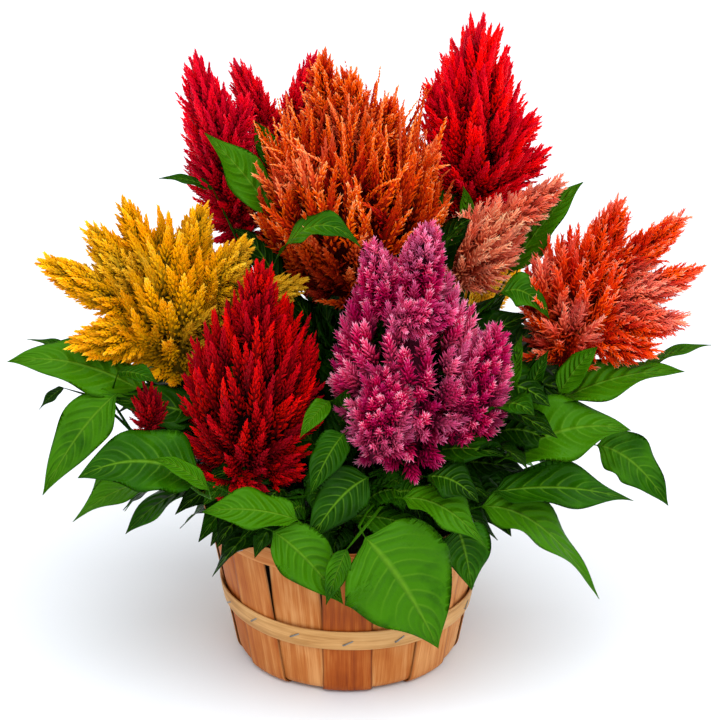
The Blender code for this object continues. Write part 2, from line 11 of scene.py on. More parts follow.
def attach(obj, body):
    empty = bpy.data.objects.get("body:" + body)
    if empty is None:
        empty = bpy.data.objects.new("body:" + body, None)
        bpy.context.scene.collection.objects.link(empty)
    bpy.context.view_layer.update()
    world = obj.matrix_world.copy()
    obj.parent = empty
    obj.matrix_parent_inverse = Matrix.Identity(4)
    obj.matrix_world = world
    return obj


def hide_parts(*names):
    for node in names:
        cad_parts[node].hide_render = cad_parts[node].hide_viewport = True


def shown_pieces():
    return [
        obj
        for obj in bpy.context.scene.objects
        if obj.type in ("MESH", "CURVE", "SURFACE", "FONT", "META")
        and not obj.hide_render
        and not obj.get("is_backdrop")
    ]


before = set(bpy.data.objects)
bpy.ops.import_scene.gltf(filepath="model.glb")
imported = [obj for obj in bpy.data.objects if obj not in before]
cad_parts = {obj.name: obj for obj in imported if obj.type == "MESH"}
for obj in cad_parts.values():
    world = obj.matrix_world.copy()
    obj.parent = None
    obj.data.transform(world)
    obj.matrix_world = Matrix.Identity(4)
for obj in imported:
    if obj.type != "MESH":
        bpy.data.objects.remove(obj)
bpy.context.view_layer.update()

mm = 0.001
up = Vector((0, 0, 1))
fullTurn = 6.283                          # radians
golden = math.pi * (3 - math.sqrt(5))     # radians, from one floret to the next
threeCorners = (0, 2.094, 4.189)          # radians, round a floret or a plumelet's middle


def linearColor(hexValue):
    # sRGB hex to the linear values that shaders take
    parts = [int(hexValue[i:i + 2], 16) / 255 for i in (1, 3, 5)]
    return tuple(p / 12.92 if p <= 0.04045 else ((p + 0.055) / 1.055) ** 2.4 for p in parts) + (1.0,)


def addNode(mat, kind, settings=None, links=None):
    # adds one node; settings are properties, input values or a colour ramp's stops, and links are
    # input: (node, output)
    node = mat.node_tree.nodes.new(kind)
    for key, value in (settings or {}).items():
        if key == "stops":
            elements = node.color_ramp.elements
            while len(elements) < len(value):
                elements.new(0.5)
            for element, (place, color) in zip(elements, value):
                element.position = place
                element.color = linearColor(color)
        elif isinstance(key, str) and hasattr(node, key):
            setattr(node, key, value)
        else:
            node.inputs[key].default_value = value
    for key, (source, output) in (links or {}).items():
        mat.node_tree.links.new(source.outputs[output], node.inputs[key])
    return node


def newMaterial(name, roughness, specular=0.5):
    mat = bpy.data.materials.new(name)
    mat.use_nodes = True
    shader = mat.node_tree.nodes["Principled BSDF"]
    shader.inputs["Roughness"].default_value = roughness
    shader.inputs["Specular IOR Level"].default_value = specular
    return mat, shader


def linkTo(mat, node, output, shader, socket):
    mat.node_tree.links.new(node.outputs[output], shader.inputs[socket])


def meshPiece(name, points, faces, mat, fields=None, smooth=True):
    # a mesh object that rides with the basket; fields are vectors kept at each point
    mesh = bpy.data.meshes.new(name)
    points = np.asarray(points, dtype=np.float32).reshape(-1, 3)
    mesh.from_pydata(points.tolist(), [], [tuple(f) for f in faces])
    for field, values in (fields or {}).items():
        layer = mesh.attributes.new(field, "FLOAT_VECTOR", "POINT")
        layer.data.foreach_set("vector", np.asarray(values, dtype=np.float32).ravel())
    mesh.polygons.foreach_set("use_smooth", [smooth] * len(mesh.polygons))
    mesh.materials.append(mat)
    piece = bpy.data.objects.new(name, mesh)
    bpy.context.scene.collection.objects.link(piece)
    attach(piece, "root")
    return piece


# Camera and studio
view = {
    "aim": (10.8, 0, 270),        # mm, the middle of the picture
    "elevation": 22.4,            # degrees
    "distance": 1900,             # mm
    "lens": 111.1,                # mm on a 36 mm sensor
}
studio = {
    "floor": "#eaeff5",
    "floorHalf": 60,              # m, so that its edge is out of every view
    "floorDrop": 0.5 * mm,        # under the basket's foot
    "world": 0.97,
    "sun": 2.1,
    "sunSpread": 62,              # degrees, a wide soft box
    "sunPlace": (0.24, -0.50, 1),
}


def addStudio():
    scene = bpy.context.scene
    tilt = math.radians(view["elevation"])
    look = Vector((0, math.cos(tilt), -math.sin(tilt)))
    aim = Vector(view["aim"]) * mm
    lens = bpy.data.cameras.new("camera")
    lens.lens = view["lens"]
    lens.sensor_width = 36
    camera = bpy.data.objects.new("camera", lens)
    camera.location = aim - look * view["distance"] * mm
    camera.rotation_euler = look.to_track_quat("-Z", "Y").to_euler()
    scene.collection.objects.link(camera)
    scene.camera = camera
    lamp = bpy.data.lights.new("softSun", "SUN")
    lamp.energy = studio["sun"]
    lamp.angle = math.radians(studio["sunSpread"])
    light = bpy.data.objects.new("softSun", lamp)
    light.rotation_euler = Vector(studio["sunPlace"]).to_track_quat("Z", "Y").to_euler()
    scene.collection.objects.link(light)
    world = bpy.data.worlds.new("studio")
    world.use_nodes = True
    back = world.node_tree.nodes["Background"]
    back.inputs["Color"].default_value = (1, 1, 1, 1)
    back.inputs["Strength"].default_value = studio["world"]
    scene.world = world
    scene.view_settings.view_transform = "Standard"
    mat, shader = newMaterial("paperFloor", 0.9, 0.2)   # matt seamless paper, almost white
    shader.inputs["Base Color"].default_value = linearColor(studio["floor"])
    mesh = bpy.data.meshes.new("floor")
    half = studio["floorHalf"]
    mesh.from_pydata([(-half, -half, 0), (half, -half, 0), (half, half, 0), (-half, half, 0)], [],
                     [(0, 1, 2, 3)])
    mesh.materials.append(mat)
    floor = bpy.data.objects.new("floor", mesh)
    floor.location.z = -studio["floorDrop"]
    scene.collection.objects.link(floor)
    floor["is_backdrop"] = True


# Basket of bent splints, the same driving sizes as the solids
basket = {
    "topRadius": 125 * mm, "footRadius": 99 * mm, "height": 146 * mm, "bendHeight": 9 * mm,
    "footEdge": 90 * mm, "thick": 1.2 * mm, "layerGap": 0.5 * mm, "pileStep": 1.5 * mm,
    "outerWidth": 43 * mm, "innerWidth": 46 * mm, "outerRise": (60 * mm, 53.5 * mm),
    "innerRise": (78 * mm, 66 * mm), "hoopHeight": 19 * mm, "hoopThick": 1.8 * mm, "hoopGap": 0.7 * mm,
    "midHoopLow": 49 * mm, "midHoopTilt": -0.022,
    "edgeRound": 0.35 * mm,      # soft cut edge of a splint
    "shades": (-0.14, 0.03, 0.06, -0.03, 0.01, 0.07, -0.06, 0.04),   # tone of each splint
}


def wallRadius(height):
    share = height / basket["height"]
    return basket["footRadius"] + (basket["topRadius"] - basket["footRadius"]) * share


def splintPath(layer, order):
    inset = layer * (basket["thick"] + basket["layerGap"]) + basket["thick"] / 2
    level = basket["pileStep"] * (order + 4 * layer) + basket["thick"] / 2
    rise = basket["innerRise"] if layer else basket["outerRise"]
    wallEnd = (wallRadius(basket["bendHeight"]) - inset, basket["bendHeight"] + inset * 0.4)
    corner = (wallRadius(0) - inset, inset)
    flatStart = (basket["footEdge"] - inset * 0.4, inset)
    top = (wallRadius(basket["height"]) - inset, basket["height"])
    path = [(top[0] + (wallEnd[0] - top[0]) * k / 10, top[1] + (wallEnd[1] - top[1]) * k / 10, 1)
            for k in range(10)]
    for k in range(7):
        t = k / 6
        a, b, c = (1 - t) ** 2, 2 * t * (1 - t), t * t
        path.append((a * wallEnd[0] + b * corner[0] + c * flatStart[0],
                     a * wallEnd[1] + b * corner[1] + c * flatStart[1], 1))
    for k in range(1, 5):
        path.append((flatStart[0] + (rise[0] - flatStart[0]) * k / 4, inset, 1 - k / 4))
    path.append((rise[1], level, 0))
    return path


def splintMesh(name, layer, order, azimuth, mat, rng):
    width = basket["innerWidth" if layer else "outerWidth"]
    half = splintPath(layer, order)
    line = half + [(0, half[-1][1], 0)] + [(-r, h, w) for r, h, w in reversed(half)]
    along = Vector((math.cos(azimuth), math.sin(azimuth), 0))
    across = Vector((-math.sin(azimuth), math.cos(azimuth), 0))
    thick, soft = basket["thick"], basket["edgeRound"]
    steps = 12
    shares = [k / steps - 0.5 for k in range(steps + 1)]
    # share of the width, side of the sheet, and whether the point is the middle of a cut edge
    section = [(share, 0.5, False) for share in shares] + [(0.5, 0, True)]
    section += [(share, -0.5, False) for share in reversed(shares)] + [(-0.5, 0, True)]
    points, places, shades = [], [], []
    run = 0
    for index, (radius, height, roundness) in enumerate(line):
        before, after = line[max(index - 1, 0)], line[min(index + 1, len(line) - 1)]
        dr, dh = after[0] - before[0], after[1] - before[1]
        length = math.hypot(dr, dh)
        normal = (dh / length, -dr / length)
        run += length / 2
        trim = 1 - 0.02 * rng.random()
        for share, side, edge in section:
            corner = abs(share) == 0.5 and not edge
            offset = share * (width - 2 * soft * corner) * trim
            lift = side * thick * (1 - 0.3 * corner)
            reach = radius + lift * normal[0]
            rise = height + lift * normal[1]
            angle = offset / max(abs(reach), 0.02)
            forward = reach * (roundness * math.cos(angle) + 1 - roundness)
            aside = roundness * abs(reach) * math.sin(angle) + (1 - roundness) * offset
            points.append(along * forward + across * aside + up * rise)
            places.append((run, offset, order + 4 * layer))
            # the second value is the share out towards a long edge, which takes painted shade in the wood
            # material
            shades.append((basket["shades"][order + 4 * layer], abs(share) * 2, 0))
    faces = gridFaces(len(line), len(section), closed=True, caps=True)
    return meshPiece(name, [tuple(p) for p in points], faces, mat, {"grain": places, "shade": shades})


def gridFaces(rows, columns, closed=False, caps=False, loop=False):
    # quads over a grid of points, closed round its columns and, for a loop, round its rows
    faces = []
    for row in range(rows if loop else rows - 1):
        after = (row + 1) % rows
        for col in range(columns if closed else columns - 1):
            turn = (col + 1) % columns
            faces.append((row * columns + col, after * columns + col, after * columns + turn,
                          row * columns + turn))
    if caps:
        faces.append(tuple(range(columns)))
        faces.append(tuple((rows - 1) * columns + col for col in range(columns))[::-1])
    return faces


def hoopMesh(name, low, inside, tilt, mat, ident):
    # a bent band that wanders a little as it goes round
    steps = 144
    height, thick = basket["hoopHeight"], basket["hoopThick"]
    section = [(0.03, 0), (0.97, 0), (1, 0.2), (1, 0.8), (0.95, 1), (0.5, 1.08), (0.05, 1), (0, 0.8),
               (0, 0.2)]          # share of the height and of the thickness, its outer face a little round
    points, places = [], []
    for step in range(steps):
        angle = 2 * math.pi * step / steps
        wander = 0.25 * mm * math.sin(3 * angle + ident) + 0.2 * mm * math.sin(7 * angle)
        for share, depth in section:
            z = low + share * height + tilt * basket["topRadius"] * math.cos(angle) + wander
            if inside:
                reach = (wallRadius(z) - 2 * basket["thick"] - basket["layerGap"] - basket["hoopGap"]
                         - depth * thick)
            else:
                reach = wallRadius(z) + basket["hoopGap"] * 0.6 + depth * thick
            points.append((reach * math.cos(angle), reach * math.sin(angle), z))
            places.append((angle * basket["topRadius"], share * height, 20 + ident))
    faces = gridFaces(steps, len(section), closed=True, loop=True)
    return meshPiece(name, points, faces, mat, {"grain": places, "shade": [(0, 0, 0)] * len(points)})


# Peeled poplar veneer: a warm orange tan with long fine grain lines and darker latewood streaks.
# Grain sizes are along and across the grain.
veneer = {
    "pale": "#d89a5e", "body": "#ba6e30", "dark": "#a34e12", "deep": "#7c2e00",
    "streak": (111.1 * mm, 5 * mm), "line": (33.3 * mm, 0.6 * mm), "blotch": (55.6 * mm, 25 * mm),
    # the last value is how dark the painted shade along each splint's long edges goes
    "relief": 0.3 * mm, "paintedSeamShade": 0.5,
}
# Planed aspen: paler and plainer, with the same grain
hoopWood = {"pale": "#e0b67e", "body": "#cf9c60", "dark": "#b07c42", "deep": "#8a5626"}


def woodMaterial(name, tones, roughness, spread):
    mat, shader = newMaterial(name, roughness, 0.18)
    place = addNode(mat, "ShaderNodeAttribute", {"attribute_name": "grain"})
    noises = []
    for size, apart, settings in (("streak", 7, {"Detail": 4, "Roughness": 0.6}), ("line", 7, {"Detail": 2}),
                                  ("blotch", 3.7, {"Detail": 3})):
        long, wide = veneer[size]
        stretch = addNode(mat, "ShaderNodeVectorMath",
                          {"operation": "MULTIPLY", 1: (1 / long, 1 / wide, apart)}, {0: (place, "Vector")})
        settings["Scale"] = 1.0
        noises.append(addNode(mat, "ShaderNodeTexNoise", settings, {"Vector": (stretch, 0)}))
    streaks, lines, clouds = noises
    coarse = addNode(mat, "ShaderNodeMath", {"operation": "MULTIPLY", 1: 0.45}, {0: (streaks, "Fac")})
    grain = addNode(mat, "ShaderNodeMath", {"operation": "MULTIPLY_ADD", 1: 0.2},
                    {0: (lines, "Fac"), 2: (coarse, 0)})
    mottled = addNode(mat, "ShaderNodeMath", {"operation": "MULTIPLY_ADD", 1: spread},
                      {0: (clouds, "Fac"), 2: (grain, 0)})
    shade = addNode(mat, "ShaderNodeAttribute", {"attribute_name": "shade"})
    own = addNode(mat, "ShaderNodeSeparateXYZ", links={0: (shade, "Vector")})
    toned = addNode(mat, "ShaderNodeMath", {"operation": "ADD"}, {0: (mottled, 0), 1: (own, "X")})
    stops = [(0.24, tones["deep"]), (0.38, tones["dark"]), (0.50, tones["body"]), (0.66, tones["pale"])]
    ramp = addNode(mat, "ShaderNodeValToRGB", {"stops": stops}, {0: (toned, 0)})
    # painted shade: each splint darkens along its long edges, standing in for the shadowed seams between
    # splints
    edge = addNode(mat, "ShaderNodeMapRange",
                   {"From Min": 0.92, "From Max": 1.0, "To Min": 1.0, "To Max": veneer["paintedSeamShade"]},
                   {"Value": (own, "Y")})
    color = addNode(mat, "ShaderNodeHueSaturation", {}, {"Value": (edge, 0), "Color": (ramp, "Color")})
    linkTo(mat, color, "Color", shader, "Base Color")
    rough = addNode(mat, "ShaderNodeMapRange",
                    {"From Min": 0.3, "From Max": 0.7, "To Min": roughness - 0.1, "To Max": roughness + 0.12},
                    {"Value": (streaks, "Fac")})
    linkTo(mat, rough, 0, shader, "Roughness")
    bump = addNode(mat, "ShaderNodeBump", {"Strength": 0.25, "Distance": veneer["relief"]},
                   {"Height": (grain, 0)})
    linkTo(mat, bump, 0, shader, "Normal")
    return mat


staple = {
    "crown": 9.5 * mm, "wire": 1.15 * mm, "slant": 34,          # degrees
    "middle": 9, "rim": 6,        # mm up each hoop
    "count": 16,
}


def addStaples(mat):
    # wire staples through the outer hoops, a little askew, with their crowns proud of the wood
    rng = random.Random(5)
    points, faces = [], []
    # along the crown and out of the wood: a leg, the crown and the other leg
    profile = [(-0.5, -1.5), (-0.5, 0.1), (-0.42, 0.42), (0.42, 0.42), (0.5, 0.1), (0.5, -1.5)]
    crown, wire, sides = staple["crown"], staple["wire"], 5
    for low, tilt, height in ((basket["midHoopLow"], basket["midHoopTilt"], staple["middle"]),
                              (basket["height"] - basket["hoopHeight"], 0, staple["rim"])):
        for number in range(staple["count"]):
            angle = math.radians(90 + 360 / staple["count"] * number + rng.uniform(-1.5, 1.5))
            z = low + (height + rng.uniform(-1.5, 1.5)) * mm + tilt * basket["topRadius"] * math.cos(angle)
            reach = wallRadius(z) + basket["hoopGap"] * 0.6 + basket["hoopThick"] * 1.06
            out = Vector((math.cos(angle), math.sin(angle), 0))
            side = Vector((-math.sin(angle), math.cos(angle), 0))
            slant = math.radians(staple["slant"] + rng.uniform(-7, 7))
            way = side * math.cos(slant) + up * math.sin(slant)
            cross = out.cross(way)
            middle = out * reach + up * z
            start = len(points)
            for along, lift in profile:
                centre = middle + way * along * crown + out * lift * wire * 1.2
                onCrown = abs(along) < 0.45
                for k in range(sides):
                    a = 2 * math.pi * k / sides
                    thick = (out if onCrown else way) * math.sin(a) * 0.5
                    points.append(tuple(centre + (cross * math.cos(a) * 0.62 + thick) * wire))
            faces += [tuple(start + c for c in face)
                      for face in gridFaces(len(profile), sides, closed=True, caps=True)]
    piece = meshPiece("staples", points, faces, mat)


def buildBasket():
    wood = woodMaterial("peeledPoplarVeneer", veneer, 0.58, 0.35)
    pale = woodMaterial("planedAspenBand", hoopWood, 0.5, 0.3)
    rng = random.Random(3)
    for layer, title in ((0, "outer"), (1, "inner")):
        for order in range(4):
            azimuth = math.radians(90 + 45 * order + 22.5 * layer)
            node = f"splint_{title}_{order + 1}"
            piece = splintMesh("fine_" + node, layer, order, azimuth, wood, rng)
            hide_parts(node)
    low = basket["height"] - basket["hoopHeight"]
    for node, z, inside, tilt, mat, slot in (
            ("rim_hoop_outer", low, False, 0, wood, "splint_wood"),
            ("rim_hoop_inner", low, True, 0, wood, "splint_wood"),
            ("middle_hoop", basket["midHoopLow"], False, basket["midHoopTilt"], pale, "hoop_wood")):
        piece = hoopMesh("fine_" + node, z, inside, tilt, mat, len(node))
        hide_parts(node)
    # galvanised steel wire: bright, with a dull zinc bloom
    steel, shader = newMaterial("galvanisedWire", 0.34)
    shader.inputs["Metallic"].default_value = 1
    spots = addNode(steel, "ShaderNodeTexNoise", {"Scale": 1 / (1.11 * mm)})
    ramp = addNode(steel, "ShaderNodeValToRGB", {"stops": [(0.3, "#6c6a66"), (0.7, "#a9a8a4")]},
                   {0: (spots, "Fac")})
    linkTo(steel, ramp, "Color", shader, "Base Color")
    addStaples(steel)


# Flower heads. A kind says how the plumelets grow: gap between them, length and half width, the florets
# on each with their length and half width, how far they open and stray, the lean at the foot and at the
# top in degrees, bend, curl, and how deep in the spire a plumelet ends. Sizes are in mm.
kinds = {
    "flame": dict(gap=14.0, length=40, width=10.5, florets=50, floret=7.0, petal=1.9, open=0.50, ragged=0.15,
                  low=-25, high=74, bend=0.30, curl=0.12, sink=0.92),
    "tuft": dict(gap=13.2, length=25, width=8.0, florets=40, floret=8.4, petal=1.6, open=0.95, ragged=0.15,
                 low=-35, high=66, bend=0.18, curl=0.08, sink=0.92),
    "spike": dict(gap=16.0, length=40, width=14.0, florets=56, floret=7.4, petal=2.2, open=0.55, ragged=0.15,
                  low=-15, high=72, bend=0.22, curl=0.14, sink=0.92),
    "bristle": dict(gap=14.5, length=40, width=11.0, florets=52, floret=9.0, petal=1.5, open=0.6, ragged=0.28,
                    low=-10, high=72, bend=0.24, curl=0.20, sink=0.92),
    "cluster": dict(gap=14.5, length=42, width=10.0, florets=46, floret=7.6, petal=1.9, open=0.55,
                    ragged=0.24, low=0, high=74, bend=0.25, curl=0.34, sink=0.92),
    "finger": dict(gap=18.0, length=62, width=4.0, florets=40, floret=4.8, petal=1.6, open=0.4, ragged=0.15,
                   low=25, high=80, bend=0.20, curl=0.40, sink=0.55),
}
# how far a head's main spire keeps its girth towards the tip: 1 is a cone, 3 a blunt egg
fullness = {
    "crimson": 3.0, "magenta": 3.4, "orange": 3.2, "yellow": 2.6, "coral": 2.2, "scarlet": 1.3,
    "redleft": 1.5, "others": 1.6, "sideSpire": 1.7,
}
# each head's kind, its colours from painted shade deep inside to the paler tips, and its spires as in the
# solids: foot, tip, radius
heads = {
    "crimson": ("flame", ("#220002", "#960008", "#d00414", "#ee303c"), [
        ((-88, -65, 176), (-69, -60, 358), 56),
        ((-78, -62, 300), (-68, -62, 384), 20),
        ((-72, -75, 195), (-36, -92, 214), 12),
        ((-95, -80, 200), (-76, -112, 192), 12),
    ]),
    "magenta": ("tuft", ("#4a0420", "#b61248", "#e4407e", "#ffbcd4"), [
        ((48, -72, 215), (53, -64, 384), 62),
        ((54, -70, 340), (67, -66, 418), 22),
        ((36, -73, 330), (19, -72, 404), 20),
        ((24, -108, 226), (38, -110, 314), 28),
        ((90, -84, 226), (124, -74, 332), 31),
        ((34, -102, 344), (88, -116, 358), 16),
    ]),
    "yellow": ("spike", ("#74601a", "#e0aa2c", "#ffb026", "#ffcc58"), [
        ((-143, -2, 262), (-160, 0, 400), 54),
        ((-160, -6, 308), (-258, -22, 370), 20),
        ((-160, -4, 315), (-217, -8, 396), 21),
        ((-156, 2, 330), (-188, 4, 414), 18),
        ((-140, 2, 330), (-120, 12, 408), 19),
        ((-128, -8, 318), (-80, -16, 386), 21),
        ((-125, -8, 306), (-32, -24, 352), 20),
        ((-160, -14, 300), (-232, -48, 304), 21),
    ]),
    "orange": ("cluster", ("#4c0402", "#cc300c", "#fc6c26", "#ffc890"), [
        ((4, 35, 318), (4, 50, 482), 84),
        ((-8, 48, 430), (-23, 52, 528), 20),
        ((2, 46, 430), (2, 46, 516), 20),
        ((18, 42, 430), (38, 40, 492), 18),
        ((-18, 22, 400), (-52, 6, 446), 18),
        ((30, 38, 398), (76, 38, 444), 18),
    ]),
    "redleft": ("flame", ("#560010", "#cc001c", "#ee1232", "#ff5468"), [
        ((-90, 62, 352), (-130, 70, 521), 33),
        ((-104, 64, 425), (-84, 62, 488), 14),
    ]),
    "redfork": ("flame", ("#560010", "#d00a24", "#f02036", "#ff6a70"), [
        ((-58, 108, 390), (-62, 108, 458), 34),
        ((-62, 108, 420), (-98, 106, 506), 18),
        ((-54, 108, 420), (-26, 108, 512), 18),
    ]),
    "scarlet": ("flame", ("#62000a", "#dc0012", "#ff0c20", "#ff5058"), [
        ((108, 85, 350), (112, 95, 548), 56),
        ((96, 80, 430), (67, 70, 497), 14),
        ((98, 84, 450), (87, 80, 516), 14),
        ((126, 84, 420), (165, 80, 466), 14),
        ((126, 84, 385), (174, 76, 438), 14),
    ]),
    "salmon": ("bristle", ("#983424", "#ec6c50", "#ff8c72", "#ffd0b4"), [
        ((92, 14, 335), (142, 20, 406), 35),
        ((120, 18, 376), (184, 25, 424), 16),
    ]),
    "coral": ("bristle", ("#70100a", "#e03616", "#ff6036", "#ffc0a4"), [
        ((182, -8, 272), (200, 0, 388), 46),
        ((198, -6, 325), (230, 8, 415), 20),
        ((204, -6, 325), (284, 4, 402), 18),
        ((206, -10, 316), (298, -12, 358), 18),
        ((204, -14, 306), (286, -30, 318), 18),
        ((196, -14, 296), (262, -34, 290), 17),
        ((184, -10, 312), (148, 2, 350), 18),
    ]),
    "bud": ("flame", ("#2a0003", "#80040e", "#b00c1c", "#c82a38"), [
        ((-163, -62, 226), (-166, -60, 274), 15),
    ]),
    "rearmagenta": ("tuft", ("#580628", "#bc1a54", "#e4488a", "#ffc4da"), [
        ((-96, 112, 210), (-118, 150, 318), 42),
        ((-104, 128, 262), (-150, 165, 318), 17),
    ]),
    "rearyellow": ("spike", ("#6e6418", "#dcb036", "#ffb428", "#ffc850"), [
        ((92, 112, 205), (112, 150, 300), 40),
        ((104, 130, 250), (158, 168, 300), 17),
        ((100, 134, 250), (98, 182, 296), 17),
    ]),
    "rearcrimson": ("flame", ("#2a0003", "#98000a", "#d4041c", "#ee3444"), [
        ((0, 122, 235), (0, 158, 372), 44),
        ((4, 140, 300), (34, 176, 362), 15),
    ]),
}


spire = {
    "foot": 0.6,                  # girth at the foot, as a share of the full radius
    "shoulder": 0.28,             # how far up it is full
    "blunt": 0.6,                 # how roundly it closes at the tip
    "core": 0.34,                 # radius of the body that the plumelets stand on
    "coreLength": 0.85,
    "cover": 1.1,                 # plumelets for each gap's square of the surface
    "even": 0.15,                 # share of the plumelets that stand evenly along the spire
    "within": 0.9,                # share of a plumelet's outward reach that lies inside the radius
    "leanCurve": 2.2,             # how soon plumelets stand up along the spire
    "leanSpread": 6, "turnSpread": 0.25,          # degrees and radians
    "least": 0.62,                # size of a plumelet at the very tip
    "sizes": (0.68, 1.28),        # chance in the size of plumelets
    "fullRadius": 50, "slimmest": 0.42,           # mm, and the least grade of a slim spire's parts
}
# how fast each size shrinks with a slimmer spire
shrink = dict(gap=0.7, length=0.9, width=0.8, florets=0.8, floret=0.45, petal=0.35)
plumelet = {
    "first": 0.04,                # share along it of the first floret
    "taper": 0.75, "stand": 0.5,  # how it narrows, and how far out of its middle the florets start
    "middle": 0.62,               # girth of the fleshy middle against the whole
    "floretSizes": (0.7, 1.25),
    "least": 0.6,                 # size of the florets at its tip
    "closed": 0.25,               # how far they still open there
    "askew": 0.2,                 # chance in the side that it curls to
    # the floret ramp runs from painted shade at a plumelet's foot to the paler floret tips
    "tones": (0.08, 0.5, 0.42),   # colour ramp: at its foot, added at its tip, at a floret tip
}


def spirePlump(t, full):
    # share of the full radius along a spire, from its root to its tip
    swell = spire["foot"] + (1 - spire["foot"]) * np.minimum(t / spire["shoulder"], 1)
    return swell * np.maximum(1 - t ** full, 0) ** spire["blunt"]


def unit(vectors):
    return vectors / np.maximum(np.linalg.norm(vectors, axis=-1, keepdims=True), 1e-9)


def acrossOf(ways):
    # two unit vectors across each way
    helper = np.where(np.abs(ways[..., 1:2]) < 0.9, np.array([0.0, -1.0, 0.0]), np.array([1.0, 0.0, 0.0]))
    first = unit(helper - ways * (helper * ways).sum(-1, keepdims=True))
    return first, np.cross(ways, first)


def sized(kind, radius):
    # a slim spire carries smaller plumelets, closer together
    grade = min(max(radius / spire["fullRadius"], spire["slimmest"]), 1)
    scaled = {key: value * grade ** shrink.get(key, 0) for key, value in kind.items()}
    scaled["florets"] = round(scaled["florets"])
    return scaled


def plumeletsOn(root, tip, radius, kind, full, draw, bare):
    # the plumelets of one spire: where each starts, its way, its length, size and height on the spire
    axis = tip - root
    length = np.linalg.norm(axis)
    axis = axis / length
    first, second = acrossOf(axis)
    count = max(12, int(math.pi * radius * length * spire["cover"] / kind["gap"] ** 2))
    steps = np.linspace(0, 1, 400)
    share = np.cumsum(spirePlump(steps, full) + spire["even"])
    t = bare + (1 - bare) * np.interp((np.arange(count) + 0.5) / count, share / share[-1], steps)
    turn = np.arange(count) * golden + draw.uniform(-spire["turnSpread"], spire["turnSpread"], count)
    out = first * np.cos(turn)[:, None] + second * np.sin(turn)[:, None]
    lean = kind["high"] - (kind["high"] - kind["low"]) * (1 - t) ** spire["leanCurve"]
    lift = np.radians(lean + draw.normal(0, spire["leanSpread"], count))
    way = out * np.cos(lift)[:, None] + axis * np.sin(lift)[:, None]
    smaller = spire["least"] + (1 - spire["least"]) * spirePlump(t, full)
    size = smaller * draw.uniform(*spire["sizes"], count)
    reach = kind["length"] * size
    inner = np.maximum(radius * spirePlump(t, full) - reach * spire["within"] * np.cos(lift), 0)
    place = t * (length - reach * (np.sin(lift) + kind["bend"]) * kind["sink"])
    origin = root + axis * place[:, None] + out * inner[:, None]
    return origin, way, axis, reach, size, t


def plumeletMesh(origin, way, axis, reach, size, t, kind, draw):
    # every plumelet is a bent taper under a spiral of pointed florets
    count, florets = len(origin), kind["florets"]
    side = unit(np.cross(way, axis) + draw.normal(0, plumelet["askew"], way.shape))
    bend = axis * kind["bend"] + side * draw.normal(0, kind["curl"], (count, 1))
    along = np.linspace(plumelet["first"], 1.0, florets)
    spin = np.arange(florets) * golden + draw.uniform(0, 6.28, (count, 1))
    a, b = acrossOf(way)
    s = along[None, :, None]
    middle = origin[:, None] + (way[:, None] * s + bend[:, None] * s ** 2) * reach[:, None, None]
    tangent = unit(way[:, None] + 2 * bend[:, None] * s)
    around = a[:, None] * np.cos(spin)[..., None] + b[:, None] * np.sin(spin)[..., None]
    taper = (1 - s) ** plumelet["taper"]
    girth = kind["width"] * size[:, None, None] * taper
    start = middle + around * girth * plumelet["stand"]
    stray = draw.normal(0, kind["ragged"], tangent.shape)
    opening = kind["open"] * (plumelet["closed"] + (1 - plumelet["closed"]) * taper)
    point = unit(tangent + around * opening + stray)
    smaller = plumelet["least"] + (1 - plumelet["least"]) * taper
    long = kind["floret"] * smaller * draw.uniform(*plumelet["floretSizes"], (count, florets, 1))
    wide = kind["petal"] * smaller * np.ones_like(long)
    tone = np.stack(np.broadcast_arrays(along[None], draw.uniform(0, 1, (count, 1)), t[:, None]), -1)
    flat = [v.reshape(-1, v.shape[-1]) for v in (start, point, long, wide, tone)]
    fleshy = size * kind["width"] * plumelet["middle"]
    return joinParts([floretMesh(*flat), middleMesh(origin, way, bend, reach, fleshy, t)])


def floretMesh(start, way, long, wide, tone):
    # closed pointed florets, three corners round the foot and a tip that is paler than the foot; the darker
    # foot is painted shade from deep in the head
    a, b = acrossOf(way)
    rows = [start + (a * math.cos(angle) + b * math.sin(angle)) * wide for angle in threeCorners]
    rows.append(start + way * long)
    points = np.stack(rows, 1).reshape(-1, 3)
    shape = np.array([(0, 2, 1), (0, 1, 3), (1, 2, 3), (2, 0, 3)])
    faces = (np.arange(len(start))[:, None, None] * 4 + shape).reshape(-1, 3)
    tones = np.repeat(tone[:, None], 4, 1)
    foot, along, tip = plumelet["tones"]
    tones[:, :, 0] = foot + along * tones[:, :, 0] + np.array([0.0, 0.0, 0.0, tip])
    return points, faces, tones.reshape(-1, 3)


def middleMesh(origin, way, bend, reach, girth, t):
    # the fleshy middles of the plumelets
    a, b = acrossOf(way)
    rows = []
    for s, share in ((0.0, 0.9), (0.35, 0.8), (0.7, 0.45)):
        middle = origin + (way * s + bend * s ** 2) * reach[:, None]
        for angle in threeCorners:
            rows.append(middle + (a * math.cos(angle) + b * math.sin(angle)) * girth[:, None] * share)
    rows.append(origin + (way + bend) * reach[:, None])
    points = np.stack(rows, 1).reshape(-1, 3)
    shape = [(2, 1, 0)]
    for row in (0, 3):
        for k in range(3):
            turn = (k + 1) % 3
            shape += [(row + k, row + turn, row + 3 + turn), (row + k, row + 3 + turn, row + 3 + k)]
    shape += [(6 + k, 6 + (k + 1) % 3, 9) for k in range(3)]
    faces = (np.arange(len(origin))[:, None, None] * 10 + np.array(shape)).reshape(-1, 3)
    tone = np.zeros((len(origin), 10, 3))
    # darker towards the foot of each middle: painted shade deep in the head
    tone[:, :, 0] = np.array([0.0] * 3 + [0.1] * 3 + [0.3] * 3 + [0.7])
    tone[:, :, 1] = 0.5
    tone[:, :, 2] = t[:, None]
    return points, faces, tone.reshape(-1, 3)


